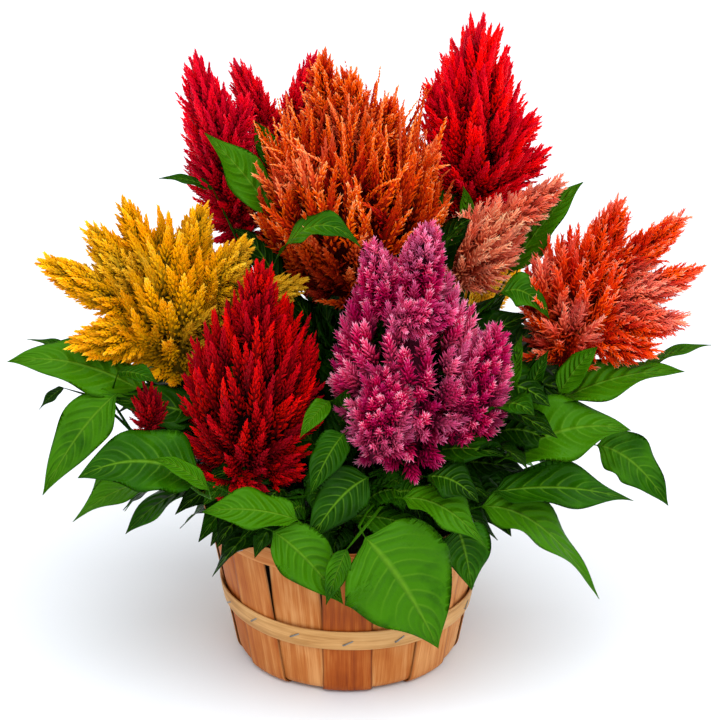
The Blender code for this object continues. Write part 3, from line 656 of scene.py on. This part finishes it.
def coreMesh(root, tip, radius, full):
    # body that the plumelets stand on, in the deepest colour as painted shade in the heart of the head
    axis = tip - root
    first, second = acrossOf(axis / np.linalg.norm(axis))
    rows, sides = 9, 12
    points, tone = [], []
    for row in range(rows):
        t = row / rows
        for side in range(sides):
            angle = 2 * math.pi * side / sides
            out = first * math.cos(angle) + second * math.sin(angle)
            girth = radius * spire["core"] * spirePlump(t, full)
            points.append(root + axis * t * spire["coreLength"] + out * girth)
            tone.append((0.0, 0.5, t))
    points.append(root + axis * (spire["coreLength"] + 0.01))
    tone.append((0.1, 0.5, 1))
    faces = []
    for row in range(rows - 1):
        for side in range(sides):
            turn = (side + 1) % sides
            a, b = row * sides, (row + 1) * sides
            faces += [(a + side, a + turn, b + turn), (a + side, b + turn, b + side)]
    top = (rows - 1) * sides
    faces += [(top + side, top + (side + 1) % sides, rows * sides) for side in range(sides)]
    faces += [(0, side + 1, side) for side in range(1, sides - 1)]
    return np.array(points), np.array(faces), np.array(tone)


def joinParts(parts):
    points, faces, tones = [], [], []
    start = 0
    for p, f, tone in parts:
        points.append(p)
        faces.append(f + start)
        tones.append(tone)
        start += len(p)
    return np.concatenate(points), np.concatenate(faces), np.concatenate(tones)


# paler patches that drift over a head
blush = {
    "coral": "#f4b0a0", "salmon": "#d2c498", "yellow": "#dcc850", "rearyellow": "#dcc850",
    "orange": "#f08c6c", "magenta": "#f0a4cc", "rearmagenta": "#f0a4cc",
}
petals = {
    "cloud": 33.3 * mm, "patch": 58.8 * mm,       # sizes of the drifts of tone and of the paler patches
    "redSwing": 0.003, "swing": 0.008,            # change of hue: the reds keep theirs
}


def petalMaterial(name, palette, patch, swing):
    # celosia florets are dry, papery and matt, with paler tips; their darkening into the depth of the head is
    # painted shade
    mat, shader = newMaterial(name, 0.6, 0.12)
    # tone holds the place from the depth to the tip, a number of each plumelet and the height on the spire;
    # the height paints light on the upper florets
    place = addNode(mat, "ShaderNodeAttribute", {"attribute_name": "tone"})
    parts = addNode(mat, "ShaderNodeSeparateXYZ", links={0: (place, "Vector")})
    own = addNode(mat, "ShaderNodeMath", {"operation": "MULTIPLY_ADD", 1: 0.22, 2: -0.11}, {0: (parts, "Y")})
    tip = addNode(mat, "ShaderNodeMath", {"operation": "ADD"}, {0: (parts, "X"), 1: (own, 0)})
    ramp = addNode(mat, "ShaderNodeValToRGB", {"stops": list(zip((0.05, 0.38, 0.72, 0.98), palette))},
                   {0: (tip, 0)})
    where = addNode(mat, "ShaderNodeTexCoord")
    clouds = addNode(mat, "ShaderNodeTexNoise", {"Scale": 1 / petals["cloud"], "Detail": 2},
                     {"Vector": (where, "Object")})
    mixed = addNode(mat, "ShaderNodeMath", {"operation": "MULTIPLY_ADD", 1: 0.5},
                    {0: (clouds, "Fac"), 2: (parts, "Y")})
    # painted light: florets higher on the spire are brighter, as if lit from above, on top of the random
    # drifts of tone
    paintedTopLightAndDrift = addNode(mat, "ShaderNodeMath", {"operation": "MULTIPLY_ADD", 1: 0.35},
                  {0: (parts, "Z"), 2: (mixed, 0)})
    value = addNode(mat, "ShaderNodeMapRange",
                    {"From Min": 0.2, "From Max": 1.5, "To Min": 0.60, "To Max": 1.22}, {"Value": (paintedTopLightAndDrift, 0)})
    hue = addNode(mat, "ShaderNodeMapRange",
                  {"From Min": 0.2, "From Max": 1.3, "To Min": 0.5 - swing, "To Max": 0.5 + swing},
                  {"Value": (mixed, 0)})
    wide = addNode(mat, "ShaderNodeTexNoise", {"Scale": 1 / petals["patch"], "Detail": 2},
                   {"Vector": (where, "Object")})
    share = addNode(mat, "ShaderNodeMapRange",
                    {"From Min": 0.46, "From Max": 0.66, "To Min": 0.0, "To Max": 0.7},
                    {"Value": (wide, "Fac")})
    deep = addNode(mat, "ShaderNodeMath", {"operation": "MULTIPLY", "use_clamp": True},
                   {0: (share, 0), 1: (tip, 0)})
    patched = addNode(mat, "ShaderNodeMix", {"data_type": "RGBA", 7: linearColor(patch)},
                      {"Factor": (deep, 0), 6: (ramp, "Color")})
    tint = addNode(mat, "ShaderNodeHueSaturation", {"Saturation": 1.04},
                   {"Hue": (hue, 0), "Value": (value, 0), "Color": (patched, 2)})
    linkTo(mat, tint, "Color", shader, "Base Color")
    return mat


def buildHeads():
    total = 0
    for number, (name, (kindName, palette, spires)) in enumerate(heads.items()):
        draw = np.random.default_rng(100 + number)
        parts = []
        for index, (root, tip, radius) in enumerate(spires):
            root, tip = np.array(root, float), np.array(tip, float)
            full = fullness["sideSpire"] if index else fullness.get(name, fullness["others"])
            bare = 0.12 if index else 0.0          # a side spire's foot is hidden in the main one
            parts.append(coreMesh(root, tip, radius, full))
            own = sized(kinds[kindName], radius)
            grown = plumeletsOn(root, tip, radius, own, full, draw, bare)
            parts.append(plumeletMesh(*grown, own, draw))
            if kindName == "cluster" and index == 0:
                # thin pale threads stand out of the upper part
                thread = kinds["finger"]
                grown = plumeletsOn(root, tip, radius * 0.9, thread, full, draw, 0.4)
                parts.append(plumeletMesh(*grown, thread, draw))
        points, faces, tone = joinParts(parts)
        swing = petals["redSwing"] if kindName == "flame" else petals["swing"]
        mat = petalMaterial("florets_" + name, palette, blush.get(name, palette[2]), swing)
        piece = meshPiece("plume_" + name, points * mm, faces, mat, {"tone": tone}, smooth=False)
        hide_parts("head_" + name)
        total += len(faces)
        print("head", name, len(faces), "triangles")
    print("heads done,", total, "triangles")


# Stems and leaves, on the same courses as the solids
plant = {
    "soilTop": 120 * mm, "soilCrown": 8 * mm, "stemDepth": 26 * mm, "groundLift": 2 * mm,
    "stemSpread": 0.55, "stemReach": 78 * mm,     # how far out a stem stands under its head
    "socketDepth": 7 * mm, "fitGap": 0.35 * mm,
    "stemFoot": 3.4 * mm, "stemNeck": 2.2 * mm, "ribs": 0.05, "petiole": 1.3 * mm,
    "thick": 0.55 * mm, "fold": 0.16, "wave": 0.10,
    "ripple": 0.22,               # edge waves, share of the half width
    "twist": 0.45,                # most turn of a blade about its midrib, radians
    "broad": 1.16,                # the listed blades against the solids' width
    "sag": 0.22, "sagFree": 45 * mm,              # a stalk longer than this hangs
    "rows": 26, "columns": 10, "smallRows": 12, "smallColumns": 6,
}
solidStations = (0.14, 0.34, 0.6, 0.84)
viewerWay = Vector((0, -0.925, 0.38))
# leaves listed one by one: base, tip, width and arch in mm, and how far the face turns to the front
frontLeaves = [
    ((15, -133, 172), (76, -136, 70), 84, 10, 0.9),
    ((-60, -128, 172), (-3, -131, 106), 40, 6, 0.8),
    ((0, -136, 160), (-17, -134, 108), 17, 3, 0.8),
    ((84, -124, 168), (98, -120, 108), 40, 10, 0.8),
    ((46, -118, 190), (116, -132, 149), 38, 14, 0.3),
    ((66, -110, 212), (108, -126, 196), 34, 8, 0.3),
    ((112, -92, 176), (212, -110, 98), 40, 24, 0.4),
    ((122, -82, 185), (241, -70, 171), 42, 8, 0.4),
    ((132, -62, 206), (238, -60, 231), 52, 14, 0.5),
    ((172, -32, 242), (283, -40, 276), 36, 10, 0.3),
    ((214, -22, 200), (277, -32, 147), 40, 12, 0.5),
    ((250, -10, 266), (309, -10, 288), 12, 5, 0.3),
    ((178, -40, 256), (207, -54, 304), 20, 4, 0.6),
    ((150, -56, 258), (166, -62, 304), 12, 3, 0.5),
    ((134, -60, 262), (144, -62, 319), 12, 3, 0.5),
    ((138, 30, 338), (199, 30, 420), 28, 8, 0.6),
    ((148, 46, 338), (166, 52, 396), 34, 4, 0.7),
    ((106, 40, 360), (98, 30, 416), 14, 3, 0.6),
    ((128, -24, 340), (169, -32, 320), 26, 12, 0.5),
    ((-58, -12, 372), (12, -44, 392), 26, 24, 0.4),
    ((-62, 28, 392), (-119, 30, 463), 30, 4, 0.7),
    ((-60, 66, 418), (-79, 68, 462), 18, 3, 0.7),
    ((-114, 58, 403), (-160, 60, 412), 10, 4, 0.4),
    ((-166, -44, 255), (-284, -50, 289), 44, 14, 0.5),
    ((-226, -26, 284), (-269, -24, 299), 10, 3, 0.4),
    ((-191, -54, 262), (-257, -60, 171), 36, 10, 0.7),
    ((-240, -28, 256), (-262, -28, 236), 9, 2, 0.5),
    ((-118, -92, 202), (-218, -108, 211), 52, 16, 0.5),
    ((-112, -112, 202), (-156, -126, 236), 14, 6, 0.6),
    ((-40, -124, 180), (-118, -122, 186), 34, 6, 0.4),
    ((-14, -84, 268), (-38, -108, 246), 15, 4, 0.6),
    ((-2, -100, 246), (-30, -122, 201), 26, 6, 0.6),
    ((18, -110, 212), (-32, -130, 160), 36, 10, 0.7),
    ((0, -120, 180), (78, -126, 163), 34, 6, 0.3),
    ((-190, -56, 282), (-154, -80, 282), 16, 4, 0.5),
]
# rings of leaves round the sides and the back: count, azimuths from and to, base radius and height,
# tip radius and height, and width
collars = [
    (11, 12, 168, 112, 168, 205, 128, 46),
    (7, 30, 156, 118, 206, 222, 232, 42),
    (5, 186, 204, 116, 180, 200, 150, 40),
]
collarSeed = 11
# the places tried for a leaf, in the solids' order: mm along its way out and up, and the share up a stem
placeSteps = ((0, 0), (8, 0), (-8, 0), (0, 8), (16, 0), (-16, 0), (0, -8), (8, 8), (24, 0), (-24, 0),
              (16, 10), (-16, 10), (32, 0), (-32, 0), (24, 12), (40, 6), (40, -16), (24, -16), (48, 20),
              (12, 30), (40, 40))
rootPlaces = (0.5, 0.6, 0.4, 0.7, 0.32, 0.8, 0.9, 0.24)


def stemCourse(spires):
    root, tip = Vector(spires[0][0]) * mm, Vector(spires[0][1]) * mm
    axis = (tip - root).normalized()
    flat = Vector((root.x, root.y, 0)) * plant["stemSpread"]
    if flat.length > plant["stemReach"]:
        flat = flat.normalized() * plant["stemReach"]
    ground = flat + up * (plant["soilTop"] + plant["soilCrown"] + plant["groundLift"])
    foot = flat + up * (plant["soilTop"] - plant["stemDepth"])
    return {"foot": foot, "ground": ground, "collar": root - axis * 2 * mm, "axis": axis,
            "neck": root + axis * (plant["socketDepth"] - plant["fitGap"])}


def bezier(a, b, c, d, t):
    return a * (1 - t) ** 3 + b * 3 * t * (1 - t) ** 2 + c * 3 * t * t * (1 - t) + d * t ** 3


def stemPoint(stem, t):
    span = (stem["collar"] - stem["ground"]).length
    a, d = stem["ground"], stem["collar"]
    return bezier(a, a + up * span * 0.38, d - stem["axis"] * span * 0.3, d, t)


def stemTangent(stem, t):
    return (stemPoint(stem, min(t + 0.01, 1)) - stemPoint(stem, max(t - 0.01, 0))).normalized()


def bladeWidth(t):
    # share of the full width: round shoulders, widest a third of the way along, a drawn-out tip
    return max(t, 0) ** 0.7 * max(1 - t, 0) ** 1.2 / 0.2864


def leafFace(turn):
    return (up * (1 - turn) + viewerWay * turn).normalized()


def listLeaves():
    rng = random.Random(collarSeed)
    leaves = []
    for base, tip, width, arch, turn in frontLeaves:
        leaf = (Vector(base) * mm, Vector(tip) * mm, width * mm, arch * mm, leafFace(turn),
                rng.uniform(0, 6.3))
        leaves.append((leaf, viewerWay))
    for count, first, last, baseRadius, baseHeight, tipRadius, tipHeight, width in collars:
        for number in range(count):
            azimuth = math.radians(first + (last - first) * (number + rng.uniform(-0.3, 0.3)) / (count - 1))
            way = Vector((math.cos(azimuth), math.sin(azimuth), 0))
            side = Vector((-way.y, way.x, 0))
            base = (way * baseRadius + up * (baseHeight + rng.uniform(-8, 8))) * mm
            tip = (way * tipRadius * rng.uniform(0.88, 1.06) + side * rng.uniform(-22, 22)) * mm
            tip.z = (tipHeight + rng.uniform(-22, 22)) * mm
            face = (up + way * 0.4).normalized()
            leaf = (base, tip, width * rng.uniform(0.8, 1.15) * mm, rng.uniform(10, 18) * mm, face,
                    rng.uniform(0, 6.3))
            leaves.append((leaf, way))
    return leaves


def leafPlaces(leaf, slide, stems):
    base = leaf[0]
    near = sorted(stems, key=lambda name: min((stemPoint(stems[name], t) - base).length
                                              for t in (0.4, 0.6, 0.8)))
    for step, lift in placeSteps:
        shift = (slide * step + up * lift) * mm
        for name in near[:5]:
            for rootAt in rootPlaces:
                yield name, rootAt, shift


def petioleCurve(leaf, stem, rootAt, shift):
    base, tip, arch = leaf[0] + shift, leaf[1] + shift, leaf[3]
    crown = (base + tip) / 2 + up * arch * 2
    root = stemPoint(stem, rootAt)
    reach = (base - root).length
    away = (crown - base).normalized()
    return root, root + stemTangent(stem, rootAt) * reach * 0.3, base - away * reach * 0.35, base, crown, tip


def chosenPlace(leaf, slide, stems, trees):
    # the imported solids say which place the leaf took: its tip and its petiole's middle are there
    best = None
    for name, rootAt, shift in leafPlaces(leaf, slide, stems):
        if trees[name].find(leaf[1] + shift)[2] > 0.05 * mm:
            continue
        root, bendA, bendB, base, crown, tip = petioleCurve(leaf, stems[name], rootAt, shift)
        middle = bezier(root, bendA, bendB, base, 0.5)
        gap = abs(trees[name].find(middle)[2] - plant["petiole"])
        if best is None or gap < best[0]:
            best = (gap, name, rootAt, shift)
    return best


def leafSurface(leaf, stem, rootAt, shift, rng, small=False):
    # one closed sheet: a round petiole that opens into a wavy, twisted blade
    root, bendA, bendB, base, crown, tip = petioleCurve(leaf, stem, rootAt, shift)
    sag = up * plant["sag"] * max(0, (base - root).length - plant["sagFree"])
    bendA, bendB = bendA - sag, bendB - sag
    face, width, phase = leaf[4], leaf[2] * (1 if small else plant["broad"]), leaf[5]
    columns = plant["smallColumns" if small else "columns"]
    rows = plant["smallRows" if small else "rows"]
    sideways = (tip - base).cross(face).normalized()
    twist = rng.uniform(-1, 1) * plant["twist"] * (1.3 if small else 1)
    waves = rng.uniform(1.4, 2.6)
    # painted shade: the small filler leaves deep in the plant take the darker end of the leaf colours
    ident = rng.uniform(0, 0.5) if small else rng.uniform(0.25, 1)
    stations = []
    for k in range(5):
        t = k / 5
        slope = ((bendA - root) * (1 - t) ** 2 + (bendB - bendA) * 2 * t * (1 - t) + (base - bendB) * t * t)
        girth = plant["petiole"] * (1.1 - 0.25 * t)
        stations.append((bezier(root, bendA, bendB, base, t), slope.normalized(), girth, -1.0))
    for k in range(rows + 1):
        t = (k / rows) ** 1.1 * 0.992
        point = base * (1 - t) ** 2 + crown * 2 * t * (1 - t) + tip * t * t
        slope = ((crown - base) * (1 - t) + (tip - crown) * t).normalized()
        stations.append((point, slope, max(0.5 * width * bladeWidth(t), 0.45 * mm), t))
    points, places = [], []
    for point, slope, half, t in stations:
        across = (sideways - slope * sideways.dot(slope)).normalized()
        normal = across.cross(slope).normalized()
        if t > 0:
            turn = twist * (t - 0.25) * 1.6
            across, normal = (across * math.cos(turn) + normal * math.sin(turn),
                              normal * math.cos(turn) - across * math.sin(turn))
        wave = plant["wave"] * half * math.sin(phase + np.interp(t, solidStations, (0, 1, 2, 3)) * 2.4)
        opened = min(1, max(t, 0) / 0.08)
        for upper in (1, -1):
            for col in (range(columns + 1) if upper > 0 else range(columns - 1, 0, -1)):
                u = 2 * col / columns - 1
                bulge = math.sqrt(max(0, 1 - u * u))
                stalk = point + (across * u + normal * upper * bulge) * min(half, plant["petiole"])
                side = 1.9 if u > 0 else 0          # the two edges wave apart from each other
                edge = math.sin(fullTurn * waves * t + phase + side) * plant["ripple"] * abs(u) ** 2.5
                lift = half * (plant["fold"] * abs(u) ** 1.4 + edge) - wave * u * abs(u) - 0.3 * mm
                thick = plant["thick"] * (0.3 * bulge + 0.2 + 0.9 * max(0, 1 - abs(u) * 5))
                sheet = point + across * half * u + normal * (lift + upper * thick * 0.5)
                points.append(tuple(stalk.lerp(sheet, opened)))
                places.append((t, u, ident))
    ring = 2 * columns
    count = len(stations)
    faces = gridFaces(count, ring, closed=True)
    points.append(tuple(tip))
    places.append((1.0, 0.0, ident))
    last = (count - 1) * ring
    faces += [(last + k, len(points) - 1, last + (k + 1) % ring) for k in range(ring)]
    faces.append(tuple(range(ring)))
    return points, faces, places


def stemSurface(stem):
    # a ribbed stem from its hole in the soil to its socket in the head
    stations = [(stem["foot"], up, 0), (stem["ground"], up, 0)]
    for row in range(1, 24):
        t = row / 24
        stations.append((stemPoint(stem, t), stemTangent(stem, t), t))
    stations += [(stem["collar"], stem["axis"], 1), (stem["neck"], stem["axis"], 1)]
    points, places = [], []
    sides = 14
    for point, tangent, t in stations:
        helper = Vector((0, -1, 0)) if abs(tangent.y) < 0.9 else Vector((1, 0, 0))
        first = (helper - tangent * helper.dot(tangent)).normalized()
        second = tangent.cross(first)
        radius = plant["stemFoot"] + (plant["stemNeck"] - plant["stemFoot"]) * t
        for side in range(sides):
            angle = 2 * math.pi * side / sides
            out = first * math.cos(angle) + second * math.sin(angle)
            points.append(tuple(point + out * radius * (1 - plant["ribs"] * (side % 2)) * 0.97))
            places.append((-2.0, math.cos(angle * 7), t))
    return points, gridFaces(len(stations), sides, closed=True, caps=True), places


leafLook = {
    "tones": [(0.2, "#061c00"), (0.5, "#103200"), (0.85, "#215400"), (1.0, "#387002")],
    "veinTone": "#5a8a18",
    "veins": 8.5,                 # side veins on each half of a blade
    "cloud": 29.4 * mm, "wander": 16.7 * mm, "grit": 2.38 * mm,
    "relief": 1.5 * mm,
}


def leafMaterial():
    # celosia leaf: thin and soft with a low sheen, a paler midrib and arched side veins, quilted between
    mat, shader = newMaterial("celosiaLeaf", 0.42, 0.06)
    # leafPlace holds the place along the leaf, the place across it and a number of each leaf, kept low on the
    # filler leaves as painted shade
    place = addNode(mat, "ShaderNodeAttribute", {"attribute_name": "leafPlace"})
    parts = addNode(mat, "ShaderNodeSeparateXYZ", links={0: (place, "Vector")})
    across = addNode(mat, "ShaderNodeMath", {"operation": "ABSOLUTE"}, {0: (parts, "Y")})
    where = addNode(mat, "ShaderNodeTexCoord")
    noises = []
    for size, detail in (("wander", 1), ("cloud", 3), ("grit", 2)):
        noises.append(addNode(mat, "ShaderNodeTexNoise", {"Scale": 1 / leafLook[size], "Detail": detail},
                              {"Vector": (where, "Object")}))
    wander, clouds, cells = noises

    # side veins run out and forward in an arch, and fade towards the edge
    arch = addNode(mat, "ShaderNodeMath", {"operation": "POWER", 1: 1.4}, {0: (across, 0)})
    slant = addNode(mat, "ShaderNodeMath", {"operation": "MULTIPLY_ADD", 1: -0.26},
                    {0: (arch, 0), 2: (parts, "X")})
    course = addNode(mat, "ShaderNodeMath", {"operation": "MULTIPLY_ADD", 1: 0.05},
                     {0: (wander, "Fac"), 2: (slant, 0)})
    waves = addNode(mat, "ShaderNodeMath", {"operation": "MULTIPLY", 1: leafLook["veins"]}, {0: (course, 0)})
    saw = addNode(mat, "ShaderNodeMath", {"operation": "PINGPONG", 1: 0.5}, {0: (waves, 0)})
    vein = addNode(mat, "ShaderNodeMapRange",
                   {"From Min": 0.0, "From Max": 0.10, "To Min": 1.0, "To Max": 0.0}, {"Value": (saw, 0)})
    fade = addNode(mat, "ShaderNodeMapRange",
                   {"From Min": 0.15, "From Max": 0.9, "To Min": 0.5, "To Max": 0.0}, {"Value": (across, 0)})
    veins = addNode(mat, "ShaderNodeMath", {"operation": "MULTIPLY"}, {0: (vein, 0), 1: (fade, 0)})
    rib = addNode(mat, "ShaderNodeMapRange",
                  {"From Min": 0.015, "From Max": 0.075, "To Min": 0.8, "To Max": 0.0},
                  {"Value": (across, 0)})
    lines = addNode(mat, "ShaderNodeMath", {"operation": "MAXIMUM"}, {0: (veins, 0), 1: (rib, 0)})
    # the leaf number darkens the filler leaves as painted shade, under random clouds of tone
    mixed = addNode(mat, "ShaderNodeMath", {"operation": "MULTIPLY_ADD", 1: 0.6},
                    {0: (clouds, "Fac"), 2: (parts, "Z")})
    ramp = addNode(mat, "ShaderNodeValToRGB", {"stops": leafLook["tones"]}, {0: (mixed, 0)})
    veined = addNode(mat, "ShaderNodeMix", {"data_type": "RGBA", 7: linearColor(leafLook["veinTone"])},
                     {"Factor": (lines, 0), 6: (ramp, "Color")})
    linkTo(mat, veined, 2, shader, "Base Color")

    # the blade puffs up between its veins and lies flat at its edge
    grit = addNode(mat, "ShaderNodeMath", {"operation": "MULTIPLY", 1: 0.4}, {0: (cells, "Fac")})
    soft = addNode(mat, "ShaderNodeMapRange",
                   {"interpolation_type": "SMOOTHSTEP", "From Min": 0.0, "From Max": 0.5},
                   {"Value": (saw, 0)})
    calm = addNode(mat, "ShaderNodeMapRange",
                   {"From Min": 0.45, "From Max": 0.95, "To Min": 1.0, "To Max": 0.0}, {"Value": (across, 0)})
    puff = addNode(mat, "ShaderNodeMath", {"operation": "MULTIPLY"}, {0: (soft, 0), 1: (calm, 0)})
    quilt = addNode(mat, "ShaderNodeMath", {"operation": "MULTIPLY_ADD", 1: 1.3},
                    {0: (puff, 0), 2: (grit, 0)})
    height = addNode(mat, "ShaderNodeMath", {"operation": "MULTIPLY_ADD", 1: -1.0},
                     {0: (rib, 0), 2: (quilt, 0)})
    bump = addNode(mat, "ShaderNodeBump", {"Strength": 0.8, "Distance": leafLook["relief"]},
                   {"Height": (height, 0)})
    linkTo(mat, bump, 0, shader, "Normal")
    return mat


# Smaller leaves that fill the plant round the rim and between the heads: count, azimuths in degrees
# (from, to), base radius and height, tip radius and height, and width, in mm
filler = {
    "rings": (
        (40, 0, 360, 92, 162, 158, 140, 44),
        (26, 0, 360, 84, 182, 164, 186, 46),
        (12, 212, 326, 98, 176, 142, 168, 46),
        (18, 312, 588, 84, 212, 168, 226, 46),
        (9, -34, 24, 124, 214, 204, 222, 46),
        (8, -30, 20, 128, 246, 196, 262, 44),
        (8, 172, 208, 118, 226, 196, 236, 46),
        (14, 325, 575, 78, 252, 150, 292, 42),
        (22, 0, 360, 46, 196, 92, 268, 42),
        (14, 315, 585, 52, 270, 96, 338, 38),
        (10, 0, 180, 60, 320, 110, 392, 32),
        (14, 0, 360, 20, 230, 46, 320, 38),
    ),
    "seed": 21,
    "rootDrop": 22 * mm,          # a stalk leaves its stem this far below its blade
    "frontSpan": (-70, 130),      # mm across the front, where the large leaves hang
    "behindLarge": -106,          # mm, tips stay behind the large leaves there
    "front": -142,                # mm, and behind this elsewhere
}
# leaves of frontLeaves, by number, that move clear of a feathery head or of each other, in mm
forward = {0: (0, -6, -1), 3: (6, 9, 0), 4: (0, 6, 4), 19: (0, -20, 2), 32: (0, -9, 3)}


def fillerLeaves(rng):
    leaves = []
    for count, first, last, baseRadius, baseHeight, tipRadius, tipHeight, width in filler["rings"]:
        for number in range(count):
            azimuth = math.radians(first + (last - first) * (number + rng.uniform(-0.35, 0.35)) / count)
            way = Vector((math.cos(azimuth), math.sin(azimuth), 0))
            side = Vector((-way.y, way.x, 0))
            base = way * baseRadius * rng.uniform(0.85, 1.1)
            base.z = baseHeight + rng.uniform(-12, 12)
            tip = way * tipRadius * rng.uniform(0.85, 1.05) + side * rng.uniform(-34, 34)
            tip.z = tipHeight + rng.uniform(-24, 24)
            left, right = filler["frontSpan"]
            tip.y = max(tip.y, filler["behindLarge" if left < tip.x < right else "front"])
            face = (up + way * rng.uniform(0.2, 0.9) + viewerWay * 0.3).normalized()
            leaves.append((base * mm, tip * mm, width * rng.uniform(0.75, 1.15) * mm,
                           rng.uniform(4, 16) * mm, face, rng.uniform(0, 6.3)))
    return leaves


def nearestRoot(base, stems):
    # the stem and the place on it, a little lower than the blade, that a small leaf grows from
    target = base - up * filler["rootDrop"]
    gap, name, rootAt = min(((stemPoint(stem, t) - target).length, name, t) for name, stem in stems.items()
                            for t in (0.2, 0.3, 0.4, 0.5, 0.6, 0.7, 0.8, 0.9, 0.97))
    return name, rootAt


def nodeTree(name):
    obj = bpy.data.objects[name]
    points = [obj.matrix_world @ v.co for v in obj.data.vertices]
    tree = KDTree(len(points))
    for index, point in enumerate(points):
        tree.insert(point, index)
    tree.balance()
    return tree


def buildFoliage():
    stems = {name: stemCourse(spires) for name, (kind, palette, spires) in heads.items()}
    trees = {name: nodeTree("leafy_stem_" + name) for name in stems}
    mat = leafMaterial()
    grown = {name: [] for name in stems}
    rng = random.Random(filler["seed"])
    missing = 0
    for number, (leaf, slide) in enumerate(listLeaves()):
        found = chosenPlace(leaf, slide, stems, trees)
        if found is None:
            missing += 1
            continue
        gap, name, rootAt, shift = found
        shift = shift + Vector(forward.get(number, (0, 0, 0))) * mm
        grown[name].append(leafSurface(leaf, stems[name], rootAt, shift, rng))
    print("leaves without a place:", missing)
    for leaf in fillerLeaves(rng):
        name, rootAt = nearestRoot(leaf[0], stems)
        grown[name].append(leafSurface(leaf, stems[name], rootAt, Vector(), rng, small=True))
    for name, stem in stems.items():
        parts = [stemSurface(stem)] + grown[name]
        points, faces, places = [], [], []
        for p, f, place in parts:
            faces += [tuple(corner + len(points) for corner in face) for face in f]
            points += p
            places += place
        piece = meshPiece("foliage_" + name, points, faces, mat, {"leafPlace": places})
        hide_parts("leafy_stem_" + name)
    total = sum(len(face.vertices) - 2 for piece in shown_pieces() for face in piece.data.polygons)
    print("foliage done,", total, "triangles in all")


potLook = {
    "plastic": [(0.35, "#0b0b0b"), (0.75, "#211e1b")], "dust": 16.7 * mm,
    "soil": [(0.35, "#0d0805"), (0.55, "#2a1a10"), (0.8, "#5a4029")], "crumb": 2.38 * mm, "relief": 2 * mm,
}


def dressPot():
    # black polypropylene nursery pot, dull and a little dusty
    plastic, shader = newMaterial("nurseryPotPlastic", 0.55, 0.4)
    dust = addNode(plastic, "ShaderNodeTexNoise", {"Scale": 1 / potLook["dust"], "Detail": 3})
    ramp = addNode(plastic, "ShaderNodeValToRGB", {"stops": potLook["plastic"]}, {0: (dust, "Fac")})
    linkTo(plastic, ramp, "Color", shader, "Base Color")
    # peat mix: almost black, crumbly, with pale fibres
    soil, shader = newMaterial("peatMix", 0.95, 0.2)
    crumb = addNode(soil, "ShaderNodeTexNoise",
                    {"Scale": 1 / potLook["crumb"], "Detail": 6, "Roughness": 0.7})
    ramp = addNode(soil, "ShaderNodeValToRGB", {"stops": potLook["soil"]}, {0: (crumb, "Fac")})
    linkTo(soil, ramp, "Color", shader, "Base Color")
    bump = addNode(soil, "ShaderNodeBump", {"Strength": 0.9, "Distance": potLook["relief"]},
                   {"Height": (crumb, "Fac")})
    linkTo(soil, bump, 0, shader, "Normal")
    for name, mat in (("grow_pot", plastic), ("potting_mix", soil)):
        materials = bpy.data.objects[name].data.materials
        materials.clear()
        materials.append(mat)


addStudio()
print("studio done")
buildBasket()
print("basket done")
dressPot()
buildHeads()
buildFoliage()
